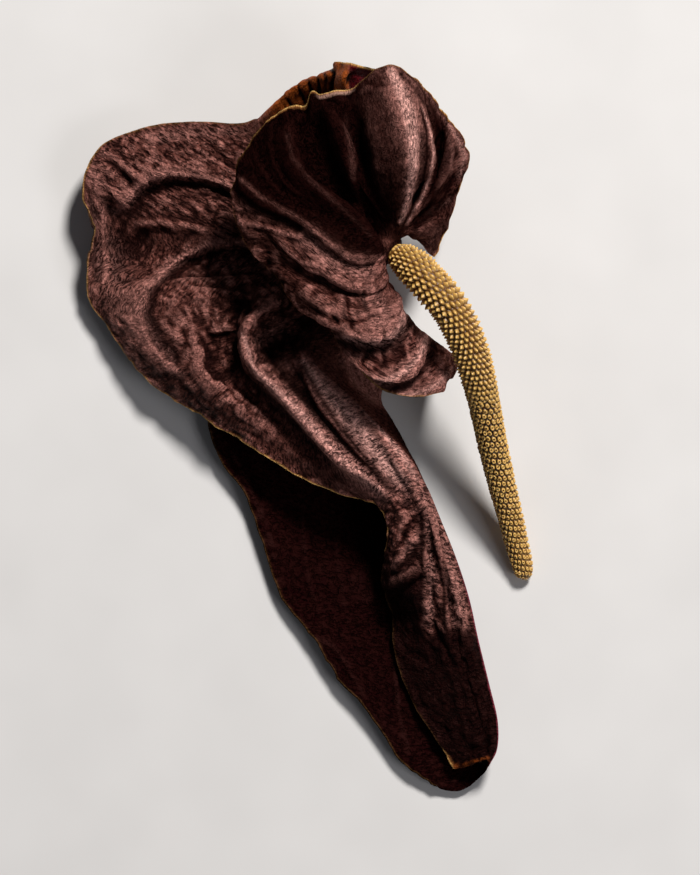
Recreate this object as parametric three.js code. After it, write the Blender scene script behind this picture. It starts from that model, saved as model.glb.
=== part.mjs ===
// A dried anthurium flower laid on its back: one crumpled spathe, the spadix and a short cut
// end of its stalk. Sizes are in mm. The flower's tip points to -y, z is up and the surface
// that it lies on is z = 0. Each rib of the spathe runs from its midrib out to its margin.
import * as THREE from 'three';

const SPATHE_THICKNESS = 0.62;
const PART_CENTRE = new THREE.Vector2(1.457, 0.313);

// The spathe touches the surface at three points, and its other low places stay just above it.
const REST_POINTS = [[25.9, -59.7], [-33.9, 36.4], [12.6, 56]];
const LOW_CLEARANCE = 0.06;

// The node where spathe, spadix and stalk meet.
const NODE_CENTRE = new THREE.Vector3(18.4, 35.6, 25);
const NODE_AXIS = new THREE.Vector3(0.8, -0.42, 0.42).normalize();
const NODE_RADIUS = 3;
const LAST_NODE_STATION = 18;

// Station along the midrib, then the midrib's own point there.
const MIDRIB = [
  [19, 17.2, 32.9, 23.4], [20, 16.4, 31.2, 20.5], [21, 14.8, 29.2, 17.8], [22, 12.6, 27.2, 15.8],
  [23, 10, 25, 14.2], [24, 7.2, 22.8, 13.2], [25, 4.4, 20.2, 13], [26, 2.2, 17.4, 14],
  [27, 2.6, 14, 16.5], [28, 6, 10.2, 17.5], [29, 10.6, 5.8, 17.5], [30, 16.4, 0, 17.2],
  [31, 21.4, -5.2, 16.4], [32, 25, -11, 15], [33, 28, -18, 13], [34, 31.2, -26, 11.5],
  [35, 33.8, -34, 9.5], [36, 35.6, -42, 8], [37, 37.8, -51, 7], [38, 39.6, -59, 6.6],
  [39, 39.4, -64.4, 6.6], [40, 38, -67.2, 6.8],
];

// Ribs of the half that folds over the front: station, then points out to the margin.
const RIGHT_RIBS = [
  [0, [[21.4, 38.9, 25.3], [22.8, 38.3, 24.1], [23.8, 37.5, 22.3], [24.7, 36.7, 20.4],
    [25.2, 36, 18.6], [25.8, 35.4, 16.8], [26.4, 35, 15]]],
  [1, [[21.4, 39.3, 26.2], [23, 39.3, 25.9], [24.4, 39.4, 25.2], [25.7, 39.4, 24], [26.8, 39, 21.5],
    [27.6, 38.4, 18.5], [28, 37.4, 15]]],
  [2, [[21.2, 39.6, 26.7], [23.2, 40.9, 26.7], [25, 43.2, 25.8], [27, 45.4, 23.8], [28.8, 47.2, 21.5],
    [30.6, 48.4, 18], [31.6, 48.2, 14]]],
  [3, [[21.1, 40.1, 27.3], [23.3, 42.8, 27.6], [25.6, 46, 27.8], [28.4, 49.8, 27.6], [30.8, 53, 26.5],
    [32.6, 54.6, 24.5], [33.6, 54.6, 21]]],
  [4, [[21, 40.5, 27.8], [22.9, 44, 27.6], [25.2, 47.6, 27.4], [27.6, 51.8, 28.2], [29.6, 55.6, 29.4],
    [30.9, 58, 29], [31.5, 59, 26.5]]],
  [5, [[20.8, 41, 28.5], [22.3, 44.8, 27.6], [24.2, 49, 25.6], [26.2, 53.2, 25.2], [27.7, 57.4, 26],
    [28.8, 60.6, 27], [29.2, 62.2, 27]]],
  [6, [[20.5, 41.4, 29.3], [21.9, 44.8, 31], [23.6, 48.2, 33.4], [25.6, 51.8, 35.6],
    [26.7, 55.6, 36.2], [26.8, 60.4, 34.6], [27.2, 65, 31]]],
  [7, [[20.2, 41.7, 30.2], [21.4, 45, 33.2], [22.9, 48.4, 36.6], [24.6, 52.2, 39], [25.2, 56.4, 39.8],
    [25, 61.8, 38.2], [25.4, 67.4, 33.5]]],
  [8, [[19.8, 41.9, 31], [20.6, 45.3, 35.6], [21.6, 49, 39.8], [22.6, 53, 42.8], [23, 57.2, 43.8],
    [22.6, 63, 42.8], [22.4, 69.8, 37]]],
  [9, [[19.2, 42.1, 31.4], [18.9, 45.5, 36.6], [18.7, 49.3, 41.2], [18.6, 53.6, 44.3],
    [18.6, 58.4, 45.8], [18.4, 65.2, 44.3], [18, 72.2, 38]]],
  [10, [[18.6, 42, 31.4], [17.4, 45.3, 35.6], [16.2, 48.8, 39.4], [15.2, 53.2, 42.2],
    [14.6, 57.8, 43.3], [13.9, 63.6, 42.3], [13.4, 70, 37.5]]],
  [11, [[18, 41.7, 31.1], [16.2, 44.7, 33.4], [14.4, 48.2, 35.6], [12.9, 52.5, 37.2],
    [11.7, 57.3, 37.8], [10.5, 62.4, 37.6], [10, 67.6, 36]]],
  [12, [[17.5, 41.2, 31], [15.3, 44, 34.3], [13, 47.1, 37.2], [10.7, 51.2, 39.6], [8.9, 56, 40.2],
    [7.3, 61.6, 39.8], [6.8, 67, 37]]],
  [13, [[17, 40.5, 30.8], [14.3, 42.8, 32.8], [11.4, 45.4, 34], [8.2, 48.8, 34.8], [5.2, 53.2, 34.8],
    [3, 59.2, 34.2], [2.4, 65.6, 33.5]]],
  [14, [[16.6, 39.6, 30.6], [13.4, 41.2, 33.1], [9.8, 43.6, 35], [5.4, 46.8, 36], [1, 50.4, 35.5],
    [-1.8, 56.6, 34], [-2.8, 63.8, 30.5]]],
  [15, [[16.3, 38.6, 30.5], [12.4, 39.6, 33], [7.8, 41.4, 34.8], [2.6, 44.4, 34.8], [-2.6, 48.2, 33.5],
    [-6, 53.8, 31], [-7.6, 60.2, 26.5]]],
  [16, [[16.1, 37.4, 30.6], [12, 37.5, 33.6], [7, 38.9, 35.5], [0.8, 42, 35], [-5, 45.6, 32.8],
    [-9.4, 49.4, 29.8], [-12.2, 53, 25]]],
  [17, [[16.1, 35.4, 30.6], [12.4, 33.6, 34], [7.4, 35.6, 36], [0.6, 41, 35.4], [-5.4, 43.8, 33],
    [-10.2, 46.6, 29.8], [-13.2, 49.2, 25]]],
  [17.5, [[16.2, 35, 30.2], [12.6, 32.7, 33], [7.2, 34.3, 34.8], [0.2, 39.5, 34.2], [-5.6, 42.3, 31.8],
    [-10.3, 44.9, 28.8], [-13.3, 47.8, 24.6]]],
  [18.3, [[16.5, 33.6, 29.6], [13.6, 30.9, 33.2], [8.6, 31.6, 35.2], [2, 36.2, 34.8], [-3.6, 40, 32.6],
    [-8.4, 42.2, 29.6], [-12.9, 43.6, 25]]],
  [19, [[17, 32, 28.6], [15.2, 29.4, 32], [11.4, 28.2, 35], [5.6, 30.8, 35.4], [0, 34, 33.6],
    [-5.8, 38, 30.4], [-11.6, 38.6, 25.5]]],
  [19.5, [[17.2, 31.3, 27.6], [15.8, 28.2, 30.6], [11.6, 26.9, 33.4], [5.4, 29.5, 33.8],
    [-0.4, 32.7, 32.2], [-6, 36.5, 29.4], [-10.6, 37.1, 25.4]]],
  [20.3, [[17.6, 29.9, 24.4], [18, 26.6, 28.6], [15, 24.6, 33.2], [8.8, 25.8, 34.2], [3, 28.8, 33],
    [-3, 32, 30.4], [-7, 33.2, 26.6]]],
  [21, [[17.9, 28.8, 22], [20, 26.2, 26.4], [18.4, 24, 32.4], [12.4, 22.8, 36], [6.4, 25, 35.6],
    [0.6, 28.2, 32.6], [-4.2, 30.2, 28]]],
  [22, [[17.8, 27, 19], [20.8, 23.8, 24], [19.8, 19.6, 30.6], [14.4, 17.2, 35.4], [8.8, 19.2, 35.6],
    [4, 21.4, 33.6], [-0.4, 24.2, 29]]],
  [23, [[17.4, 25, 16], [21.6, 22.4, 21.4], [20, 19.6, 26.8], [15, 18.4, 29.8], [11, 18.8, 30.6],
    [8, 20, 30.4], [5.4, 21.4, 29.4]]],
  [24, [[16.6, 22.4, 12.5], [24.2, 19.8, 21], [24.8, 13, 26], [19.8, 9.4, 30.8], [14.8, 10.2, 31.8],
    [11.4, 12.4, 31.2], [8.6, 15.4, 29.6]]],
  [25, [[15.8, 20.4, 10], [24.6, 19.6, 18.4], [24, 16.8, 22], [20.2, 14.8, 25], [16.4, 13.6, 26.6],
    [13, 13.4, 27.2], [10.6, 13.6, 27.2]]],
  [25.4, [[15.4, 19.2, 8.8], [25.2, 19, 16.4], [26.6, 16, 19.8], [24.4, 13.6, 22.8],
    [21.2, 11.8, 24.8], [18, 10.2, 26], [15.6, 8.4, 26.8]]],
  [25.8, [[15, 18, 7.4], [25.8, 18.4, 15.2], [28, 15.6, 19], [27, 12.8, 22], [25, 10.6, 24],
    [22.8, 8.6, 25.4], [21, 6.7, 26]]],
  [26.3, [[14.2, 16.4, 5.8], [26.2, 17.6, 13], [30, 15.4, 16.4], [30.8, 13, 18.8], [30, 10.8, 21],
    [28.6, 9, 22.4], [26.8, 7.2, 23.6]]],
  [27, [[13.2, 14, 3.6], [23.4, 16.4, 8.6], [27.6, 16.6, 11.4], [30, 15.6, 13.4], [31.3, 14, 15.2],
    [31.2, 12.2, 17.2], [30, 10.4, 19]]],
  [28, [[13.2, 10.8, 2.6], [18, 12.8, 2.6], [21.4, 14, 3.6], [23.8, 14.2, 5], [26, 13.6, 6.8],
    [28, 12.6, 8.8], [29.4, 11.4, 10.6]]],
  [28.5, [[13.6, 8.8, 3.2], [16.6, 12, 1.3], [19.4, 14.2, 1.1], [22, 15.4, 1.4], [24.3, 15.9, 2.4],
    [26.4, 16, 3.6], [28, 16, 4.8]]],
  [29, [[15, 6.4, 3.6], [16.6, 8.8, 1], [17.5, 11.6, 0.5], [18.4, 14.4, 0.4], [19.5, 16.8, 0.5],
    [21, 18.8, 1], [22.8, 20.4, 2]]],
  [29.5, [[16.8, 3.8, 4.4], [15.8, 6.4, 1.1], [14, 9.8, 0.4], [12.4, 13, 0.3], [11, 16.2, 0.4],
    [10, 18.8, 0.8], [9, 20.6, 1.8]]],
  [30, [[19.2, 0, 6], [17.6, 3, 1.2], [13.6, 5.6, 0.4], [8.6, 8, 0.4], [3.4, 10.4, 0.6],
    [-1.6, 12.4, 1.2], [-6, 13.6, 2.4]]],
  [30.5, [[21, -3, 6.6], [18.8, -0.6, 2], [13, 1.6, 0.8], [5.8, 3.6, 0.8], [-1, 5.6, 1],
    [-8, 7.2, 1.6], [-14, 8, 3]]],
  [31, [[22.6, -6, 7], [19.6, -4.6, 3], [12.6, -2.6, 1.4], [4, -0.8, 1.2], [-4, 0.8, 1.4], [-12, 2, 2],
    [-18.6, 2.8, 3.6]]],
  [32, [[25.2, -12, 7], [21.4, -10.8, 3], [13.4, -9, 1.2], [5, -7.6, 1], [-3, -6.4, 1.2],
    [-11, -5.8, 2.2], [-16.4, -5.6, 3.8]]],
  [33, [[27.8, -18.6, 6.2], [23.4, -18, 2.6], [15.4, -17, 1], [7.6, -16, 0.8], [0, -14.8, 1],
    [-7, -13.6, 2], [-11.2, -13, 3.6]]],
  [34, [[30.6, -26.4, 5.2], [26, -26.4, 2.4], [18.4, -26, 0.8], [11, -25.2, 0.6], [4, -24.4, 0.8],
    [-3.4, -23.6, 1.8], [-7.6, -23, 3.4]]],
  [35, [[33, -34.6, 4], [28.4, -35, 2], [20.8, -35.2, 0.8], [14, -35.2, 0.6], [7, -34.8, 0.6],
    [0, -34.4, 1.4], [-3.8, -34, 3]]],
  [36, [[34.6, -42.6, 3.2], [30, -43, 1.6], [23.2, -43.4, 0.2], [17, -43.4, -0.6], [11, -43, 0.2],
    [5, -42, 1.8], [1.6, -40.8, 3.8]]],
  [37, [[36.8, -51.6, 2.8], [32.6, -52, 1.2], [26.4, -52.4, -0.4], [21, -52.4, -1], [15.6, -52, -0.2],
    [10.4, -51, 1.8], [7.6, -50, 3.8]]],
  [38, [[38.6, -59.6, 2.8], [35, -60.4, 1.2], [30, -61, -0.1], [25.6, -61.2, -0.3], [21.2, -60.8, 0.6],
    [17.4, -59.8, 2], [14.8, -58.8, 3.6]]],
  [39, [[38, -65.6, 3], [35.4, -66.6, 1.6], [32, -67.4, 0.8], [28.6, -67.8, 0.8], [25.4, -68, 1.2],
    [22.8, -68, 2.2], [21, -67.6, 3.2]]],
  [40, [[37, -69, 3.6], [35.4, -70.6, 2.6], [33.8, -72, 2], [32, -72.8, 1.8], [30.2, -72.8, 1.8],
    [28.6, -72.4, 2], [27, -71.8, 2.6]]],
];

// Ribs of the half that spreads behind and rolls back over the tip: station, then points.
const LEFT_RIBS = [
  [0, [[19, 43, 17], [19.4, 47, 11.5], [19.2, 52, 7.6], [18.8, 57, 6.4], [18, 61.5, 9],
    [17.2, 65.4, 13.5], [16.8, 68.4, 17.5], [16.4, 70.6, 20.5], [16, 72, 23]]],
  [1.2, [[18, 42.2, 17], [16.4, 46, 10], [14.4, 51, 4], [12.6, 56, 0.6], [11, 60.6, 4.5],
    [9.8, 64.8, 14.5], [9, 67.6, 24.5], [9.2, 70.2, 28.5], [10.8, 72.8, 28]]],
  [2.2, [[17.2, 41.8, 17], [14.8, 45.4, 10.5], [12.2, 50, 5.5], [10, 54.6, 2], [8.2, 59.4, 3.8],
    [7, 64, 10.8], [6.4, 67.8, 19], [6.8, 71, 23.5], [8, 73.4, 24]]],
  [3.6, [[16.4, 41.2, 17], [13.4, 44.8, 11], [10.2, 49.4, 6.2], [7.6, 54, 3], [5.4, 58.8, 3],
    [4, 63.4, 8], [3.2, 67.4, 14.5], [3.6, 70.6, 18.5], [5.6, 71.6, 15.5]]],
  [5, [[15.6, 40.8, 16.5], [12, 44.2, 11], [8.2, 48.4, 6.5], [5, 52.6, 3.2], [2.2, 57, 2],
    [0.4, 61.4, 6], [-0.6, 65.6, 12], [-0.8, 69, 15.4], [0.8, 69.6, 11.5]]],
  [6.5, [[15, 40.4, 16], [11, 43.4, 11], [6.6, 47.2, 6], [2.8, 50.8, 2.4], [-0.8, 54.4, 0.9],
    [-3.6, 58.4, 4], [-5.4, 61.8, 9.5], [-6, 64.6, 12], [-4.4, 64.8, 8.5]]],
  [8, [[14.4, 39.8, 15.5], [10, 42.6, 11], [5, 45.8, 6.5], [0.4, 48.8, 3], [-3.8, 51.8, 1.6],
    [-7.2, 55, 4.2], [-9.6, 58, 7.4], [-11, 60.4, 8.8], [-11.4, 61.8, 9]]],
  [9.5, [[13.8, 39.2, 15], [9, 41.6, 11], [3.4, 44.2, 7], [-2, 46.8, 5], [-7, 49.4, 4.6],
    [-11.4, 52.6, 6], [-15, 56, 8], [-17.8, 59.4, 9], [-19.4, 62, 9]]],
  [11, [[13.4, 38.6, 15], [8, 40.6, 11], [1.8, 42.8, 7.5], [-4.4, 44.8, 6], [-10.4, 47, 5.6],
    [-16, 50, 6.4], [-21, 53.6, 8.2], [-25, 58, 9], [-27.6, 61.6, 8.6]]],
  [12.5, [[13, 37.8, 15], [7.2, 39.2, 11], [0.6, 40.8, 7.8], [-6.4, 42.2, 6.4], [-13.4, 44, 6],
    [-20, 46.8, 6.4], [-26.4, 50.6, 8], [-31.4, 55.4, 9], [-34.6, 59.8, 8.4]]],
  [13.5, [[12.8, 37.2, 15], [6.8, 38.4, 11], [-0.2, 39.4, 8], [-7.4, 40.6, 6.4], [-15, 42, 5.6],
    [-22.4, 44.2, 5.6], [-29.6, 47.4, 7], [-35.8, 51.8, 8.4], [-40, 57.2, 8]]],
  [14.5, [[12.6, 36.6, 15], [6.4, 37.4, 11], [-1, 38, 8.2], [-8.4, 38.8, 6.4], [-16.4, 39.8, 5.2],
    [-24.4, 41.4, 4.6], [-32, 43.8, 5.6], [-38.6, 47.4, 7.6], [-43.4, 51.4, 8.4]]],
  [15.5, [[12.4, 36, 15], [6, 36.2, 11], [-1.4, 36.6, 8.4], [-9, 37, 6.6], [-17.2, 37.4, 4.8],
    [-25.6, 38.4, 2.6], [-33.6, 40, 2], [-40, 42.8, 5.2], [-43.6, 46, 9.2]]],
  [17, [[12.2, 35.2, 15], [5.6, 35, 11], [-1.8, 35, 8.8], [-9.6, 34.8, 7.2], [-18, 34.8, 5],
    [-26.4, 35, 1.6], [-34, 35.8, -0.3], [-40, 37.4, 3.4], [-41.4, 40.6, 9]]],
  [18.5, [[11.8, 34.4, 15], [5.2, 33.6, 11.4], [-2.2, 33.2, 9.4], [-10, 32.8, 8.2], [-18.4, 32.4, 6.8],
    [-26.8, 32, 4.6], [-34.6, 32, 3], [-40.6, 32.6, 4.4], [-42.8, 35, 7.4]]],
  [20, [[11, 33.2, 14.5], [5, 31.8, 11.4], [-1.4, 30.8, 10], [-8, 30, 9.6], [-15, 29.2, 9.6],
    [-22.4, 28.4, 10], [-30, 27.6, 9.6], [-37, 26.8, 7.6], [-42.4, 26.2, 4.6]]],
  [21.5, [[8, 28.6, 12.6], [3.6, 27.2, 11.6], [-1, 26.4, 12.6], [-6, 25.8, 14.6], [-11.6, 25.4, 11.8],
    [-18.4, 24.4, 12], [-25.6, 22.8, 12], [-32.6, 21.2, 9.4], [-38.4, 20.6, 5]]],
  [23, [[5.6, 24.4, 11.4], [0.8, 23.4, 10.8], [-4.4, 23, 13], [-9.4, 22.8, 17.2], [-12.6, 20.8, 12.4],
    [-17, 19, 12], [-23, 17.2, 12.4], [-29, 15.4, 9.6], [-34, 14, 5.4]]],
  [24.5, [[2.6, 20.8, 11], [-2.4, 19.8, 9.6], [-7.4, 19, 12], [-11.2, 18, 18.4], [-13, 15.6, 12],
    [-16.4, 13.8, 11.6], [-20.4, 12.2, 13], [-24.2, 9.8, 10.6], [-27.4, 7.6, 7]]],
  [25.5, [[1, 17.8, 12], [-3, 16.8, 10.6], [-6.8, 15.8, 13], [-10.2, 13.8, 19.4], [-11, 11.2, 13],
    [-13.2, 9, 12.6], [-16, 7, 13.6], [-18.6, 5, 11.4], [-20.6, 3.4, 8.6]]],
  [26.5, [[0.6, 15, 16], [-2.2, 14, 16.6], [-4.8, 13, 17.6], [-7.6, 10.8, 20], [-7.6, 8, 13.4],
    [-9, 5.4, 12.8], [-10.8, 3, 13.8], [-12.4, 0.8, 12], [-13.4, -1, 10]]],
  [27.5, [[2.2, 11.2, 18.4], [0, 10, 18.6], [-2, 9, 18.6], [-4.2, 7.4, 20], [-3.6, 4.4, 13.6],
    [-4.4, 1.8, 12.6], [-5.6, -0.8, 13.4], [-6.4, -3, 12], [-6.8, -5, 10.8]]],
  [28.5, [[6.4, 7.2, 19.2], [4.2, 6.2, 18.8], [2, 5.4, 18], [-0.8, 3.6, 19.6], [0.2, 0.6, 13.6],
    [0, -2.2, 12.8], [-0.6, -4.8, 13], [-0.6, -7, 12], [-0.4, -9.2, 11.2]]],
  [29.5, [[11.2, 2.8, 19.2], [8.8, 1.6, 18.8], [6.2, 0.8, 17.6], [2.8, -0.8, 19], [4.4, -3.8, 14],
    [5, -6.4, 13.2], [5.2, -8.6, 13.2], [5.8, -10.4, 12.6], [6.6, -12.2, 12]]],
  [30.5, [[16.6, -2.6, 18.8], [14.2, -3.8, 18.2], [11.6, -4.8, 16.8], [8.2, -6.8, 18.6],
    [9.4, -9, 14.6], [10, -10.8, 14], [10.6, -12, 13.8], [11.6, -13, 13.2], [12.8, -14, 12.8]]],
  [31.5, [[21, -8, 17.8], [18.8, -9, 17], [17, -9.9, 16.4], [15.4, -11, 17.2], [14.7, -12, 15.8],
    [14.5, -12.8, 15], [14.5, -13.5, 14.4], [14.7, -14.1, 13.9], [15, -14.7, 13.5]]],
  [32.5, [[24.4, -14, 16.4], [22.7, -14.8, 15.3], [21.3, -15.4, 14.9], [19.9, -16, 15.6],
    [18.9, -16.7, 14.8], [18.3, -17.3, 14.1], [17.9, -17.9, 13.5], [17.7, -18.5, 13],
    [17.6, -19.1, 12.6]]],
  [33.5, [[27.2, -21.6, 14.6], [25.6, -22, 13.4], [24.2, -22.2, 13.4], [22.6, -22.4, 14.2],
    [21, -22.8, 13.4], [19.6, -23.2, 13], [18.6, -23.7, 11.8], [17.8, -24.2, 10.5], [17.2, -24.7, 9.4]]],
  [34.5, [[30.2, -29.8, 12.8], [28.6, -30.2, 11.2], [27, -30.2, 11.6], [25.2, -30, 10.8],
    [23.2, -30, 11.8], [21.2, -30.4, 11.6], [19.4, -30.8, 9.6], [17.8, -30.8, 7.6], [16.6, -30.6, 5.6]]],
  [35.5, [[32.6, -38, 10.8], [31, -38.4, 9.4], [29.4, -38.4, 10], [27.6, -38, 9], [25.8, -37.6, 8.4],
    [23.8, -37.4, 8], [21.8, -37, 6], [20, -36.8, 4.2], [18.4, -36.6, 2.6]]],
  [36.5, [[34.8, -46.6, 8.8], [33.2, -47, 7.6], [31.6, -47.2, 8.2], [30, -47.2, 7], [28.2, -47, 6.2],
    [26.2, -46.8, 5.6], [24, -46.6, 4.4], [21.6, -46.2, 3], [19.4, -46, 1.8]]],
  [37.5, [[37.2, -55.4, 7.6], [35.8, -56, 6.6], [34.2, -56.2, 7], [32.6, -56.2, 6], [31, -56.2, 5.4],
    [29.2, -56, 4.8], [27, -55.6, 3.8], [24.8, -55.2, 2.6], [22.8, -55, 1.8]]],
  [38.6, [[38.6, -62.6, 7.2], [37.4, -63.4, 6.2], [36.2, -64, 6.6], [35, -64.2, 5.6], [33.8, -64.2, 5],
    [32.4, -64, 4.4], [30.8, -63.6, 3.6], [29.2, -63.2, 3], [27.8, -62.8, 2.6]]],
  [40, [[37.8, -66.6, 7.2], [37.4, -66.2, 7.9], [36.8, -66.2, 8.2], [36, -66.6, 7.9], [35, -67.1, 7.1],
    [34, -67.6, 6.1], [33, -68, 5.1], [32, -68.2, 4.3], [31, -68.2, 3.6]]],
];
// Folds that stand up from the spread half like terraces: each has its crest line in x and y.
// The sheet falls away steeply on the left of the crest's run and gently on its right.
const TERRACES = [
  {
    height: 1.5, trough: 1.2, gentle: 5, steep: 1.4, hollow: 4.5,
    crest: [[-9, 47.6], [-12, 48.2], [-15, 49.2], [-19, 50.6], [-22, 51.2], [-27, 51.4], [-29, 50.8],
      [-31, 50], [-32.6, 48.6], [-34, 47], [-35.6, 45], [-37.6, 44]],
  },
  {
    height: 1.6, trough: 1.4, gentle: 5, steep: 1.4, hollow: 4.5,
    crest: [[-7, 37], [-10, 37.4], [-13, 37.8], [-16, 37.6], [-19, 37], [-21, 36], [-23.6, 34.8],
      [-25.6, 33.6], [-27, 32.4], [-28.4, 30.6], [-30, 29.4], [-31, 28], [-31.6, 26], [-32, 23],
      [-31.6, 21], [-30.6, 18], [-29, 15.6], [-27, 13.6], [-24, 11]],
  },
  {
    height: 0.9, trough: 0.8, gentle: 3, steep: 1.2, hollow: 3,
    crest: [[-11.6, 20.8], [-14, 20], [-17, 19.8], [-20, 20]],
  },
  {
    height: 1.2, trough: 1, gentle: 3, steep: 1.2, hollow: 3.4,
    crest: [[-22, 20], [-21, 18], [-20, 15], [-19.4, 12], [-17.6, 9.6], [-14, 8]],
  },
];
const TERRACE_STATIONS = [7, 9, 26, 28];
const TERRACE_FADE = 4;

// The spadix: points of its centre line, with its radius there.
const SPADIX_LINE = [
  [19, 35.28, 25.32, 2.3], [20.4, 34.3, 26.1, 2.8], [22.6, 32.5, 27.5, 3.45], [26, 29, 29.2, 3.6],
  [29.6, 24.8, 29.4, 3.55], [32.6, 19.4, 27.6, 3.45], [34.9, 13, 24.4, 3.3], [36.7, 6, 20.2, 3.1],
  [38.4, -2, 15.4, 2.9], [40.3, -10, 10.8, 2.7], [42.4, -18, 6.4, 2.45], [44.2, -25, 3.1, 2.2],
  [45.7, -30.4, 1.2, 1.8],
];
const FLORETS_ROUND = 9;
const FLORET_PITCH = 1.28;
const FLORET_HEIGHT = 0.62;
const FLORET_TWIST = 0.16;

// The cut end of the stalk: points of its centre line behind the node.
const STALK_LINE = [[17.3, 36.2, 24.4], [13.8, 38, 22.6], [9.6, 40.2, 20.4], [5, 42.4, 18.2]];
const STALK_RADIUS = 1.9;

// The point between p1 and p2 at the fraction f on a centripetal Catmull-Rom curve.
function curveBetween(p0, p1, p2, p3, f) {
  const span = (a, b) => Math.sqrt(Math.max(a.distanceTo(b), 1e-6));
  const t1 = span(p0, p1);
  const t2 = t1 + span(p1, p2);
  const t3 = t2 + span(p2, p3);
  const t = t1 + f * (t2 - t1);
  const mix = (a, b, ta, tb) => a.clone().lerp(b, (t - ta) / (tb - ta));
  const a1 = mix(p0, p1, 0, t1);
  const a2 = mix(p1, p2, t1, t2);
  const a3 = mix(p2, p3, t2, t3);
  const b1 = mix(a1, a2, 0, t2);
  const b2 = mix(a2, a3, t1, t3);
  return mix(b1, b2, t1, t2);
}

// The point at the given key on the curve through points that stand at rising keys.
function onCurve(keys, points, at) {
  const last = keys.length - 2;
  let i = 0;
  while (i < last && keys[i + 1] <= at) {
    i += 1;
  }
  const f = (at - keys[i]) / (keys[i + 1] - keys[i]);
  const before = i > 0 ? points[i - 1] : points[0].clone().multiplyScalar(2).sub(points[1]);
  const after = i < last ? points[i + 2]
    : points[last + 1].clone().multiplyScalar(2).sub(points[last]);
  return curveBetween(before, points[i], points[i + 1], after, f);
}

const toVector = (p) => new THREE.Vector3(p[0], p[1], p[2]);

// A table of ribs as one curve for each of its columns.
function ribColumns(table) {
  const keys = table.map((row) => row[0]);
  const columns = table[0][1].map((_, c) => table.map((row) => toVector(row[1][c])));
  return (station) => columns.map((points) => onCurve(keys, points, station));
}

// A point on the rim of the node's disc, at an angle from its top towards the front or the back.
function rimPoint(degrees, side) {
  const up = new THREE.Vector3(0.42, 0.9, 0.1);
  up.addScaledVector(NODE_AXIS, -NODE_AXIS.dot(up)).normalize();
  const front = new THREE.Vector3().crossVectors(NODE_AXIS, up);
  const angle = THREE.MathUtils.degToRad(degrees);
  return NODE_CENTRE.clone().addScaledVector(up, NODE_RADIUS * Math.cos(angle))
    .addScaledVector(front, side * NODE_RADIUS * Math.sin(angle));
}

// The disc of the node as chords: its back edge, middle and front edge at each of its stations.
function nodeChords() {
  const chords = [];
  for (let i = 0; i <= LAST_NODE_STATION; i += 1) {
    const share = i / LAST_NODE_STATION;
    const left = rimPoint(30 + 110 * share, -1);
    const right = rimPoint(-12 + 122 * share ** 1.4, 1);
    chords.push([i, [left, left.clone().lerp(right, 0.5), right]]);
  }
  return chords;
}

// Below the node the same three columns follow the midrib. The front one leaves the rim last.
function midribChords(leftRib, rightRib) {
  const stillOnRim = new Map([[19, rimPoint(132, 1)], [20, rimPoint(152, 1)]]);
  return MIDRIB.map(([station, x, y, z]) => {
    const middle = new THREE.Vector3(x, y, z);
    const left = middle.clone().lerp(leftRib(station)[0], 0.3);
    const right = stillOnRim.get(station) ?? middle.clone().lerp(rightRib(station)[0], 0.3);
    return [station, [left, middle, right]];
  });
}

function makeWholeRib() {
  const leftRib = ribColumns(LEFT_RIBS);
  const rightRib = ribColumns(RIGHT_RIBS);
  const chords = nodeChords().concat(midribChords(leftRib, rightRib));
  const keys = chords.map((row) => row[0]);
  const columns = [0, 1, 2].map((c) => chords.map((row) => row[1][c]));
  return (station) => {
    const centre = columns.map((points) => onCurve(keys, points, station));
    return leftRib(station).reverse().concat(centre, rightRib(station));
  };
}

function smooth(low, high, value) {
  const t = Math.min(Math.max((value - low) / (high - low), 0), 1);
  return t * t * (3 - 2 * t);
}

// Signed distance to a crest line, positive on the left of its run, and how far along it lies.
function crestDistance(crest, x, y) {
  let best = { distance: Infinity, side: 1, run: 0 };
  let run = 0;
  for (let i = 0; i + 1 < crest.length; i += 1) {
    const [ax, ay] = crest[i];
    const dx = crest[i + 1][0] - ax;
    const dy = crest[i + 1][1] - ay;
    const length = Math.hypot(dx, dy);
    const t = Math.min(Math.max(((x - ax) * dx + (y - ay) * dy) / (length * length), 0), 1);
    const distance = Math.hypot(x - ax - t * dx, y - ay - t * dy);
    if (distance < best.distance) {
      best = { distance, side: Math.sign(dx * (y - ay) - dy * (x - ax)), run: run + t * length };
    }
    run += length;
  }
  return { signed: best.distance * best.side, run: best.run, length: run };
}

function terraceLift(terrace, x, y) {
  const { signed, run, length } = crestDistance(terrace.crest, x, y);
  const ends = smooth(0, TERRACE_FADE, run) * smooth(0, TERRACE_FADE, length - run);
  const bell = (width) => Math.exp(-((signed / width) ** 2));
  const lift = signed < 0 ? terrace.height * bell(terrace.gentle)
    : (terrace.height + terrace.trough) * bell(terrace.steep) - terrace.trough * bell(terrace.hollow);
  return ends * lift;
}

function reliefAt(point, station, column) {
  const [rise, full, ease, end] = TERRACE_STATIONS;
  const among = smooth(rise, full, station) * (1 - smooth(ease, end, station));
  const spread = 1 - smooth(7, 8.5, column);
  const weight = among * spread;
  if (weight <= 0) {
    return 0;
  }
  return weight * TERRACES.reduce((sum, t) => sum + terraceLift(t, point.x, point.y), 0);
}

// Even steps through a list of [from, to, count] stretches, with both ends of the whole.
function steps(stretches) {
  const list = [stretches[0][0]];
  for (const [from, to, count] of stretches) {
    for (let i = 1; i <= count; i += 1) {
      list.push(from + (to - from) * i / count);
    }
  }
  return list;
}

function sheetGrid(stations, columns) {
  const wholeRib = makeWholeRib();
  return stations.map((station) => {
    const rib = wholeRib(station);
    const keys = rib.map((_, i) => i);
    return columns.map((column) => {
      const point = onCurve(keys, rib, column);
      const lowest = LOW_CLEARANCE + SPATHE_THICKNESS / 2;
      point.z = Math.max(point.z + reliefAt(point, station, column), lowest);
      return point;
    });
  });
}

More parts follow.
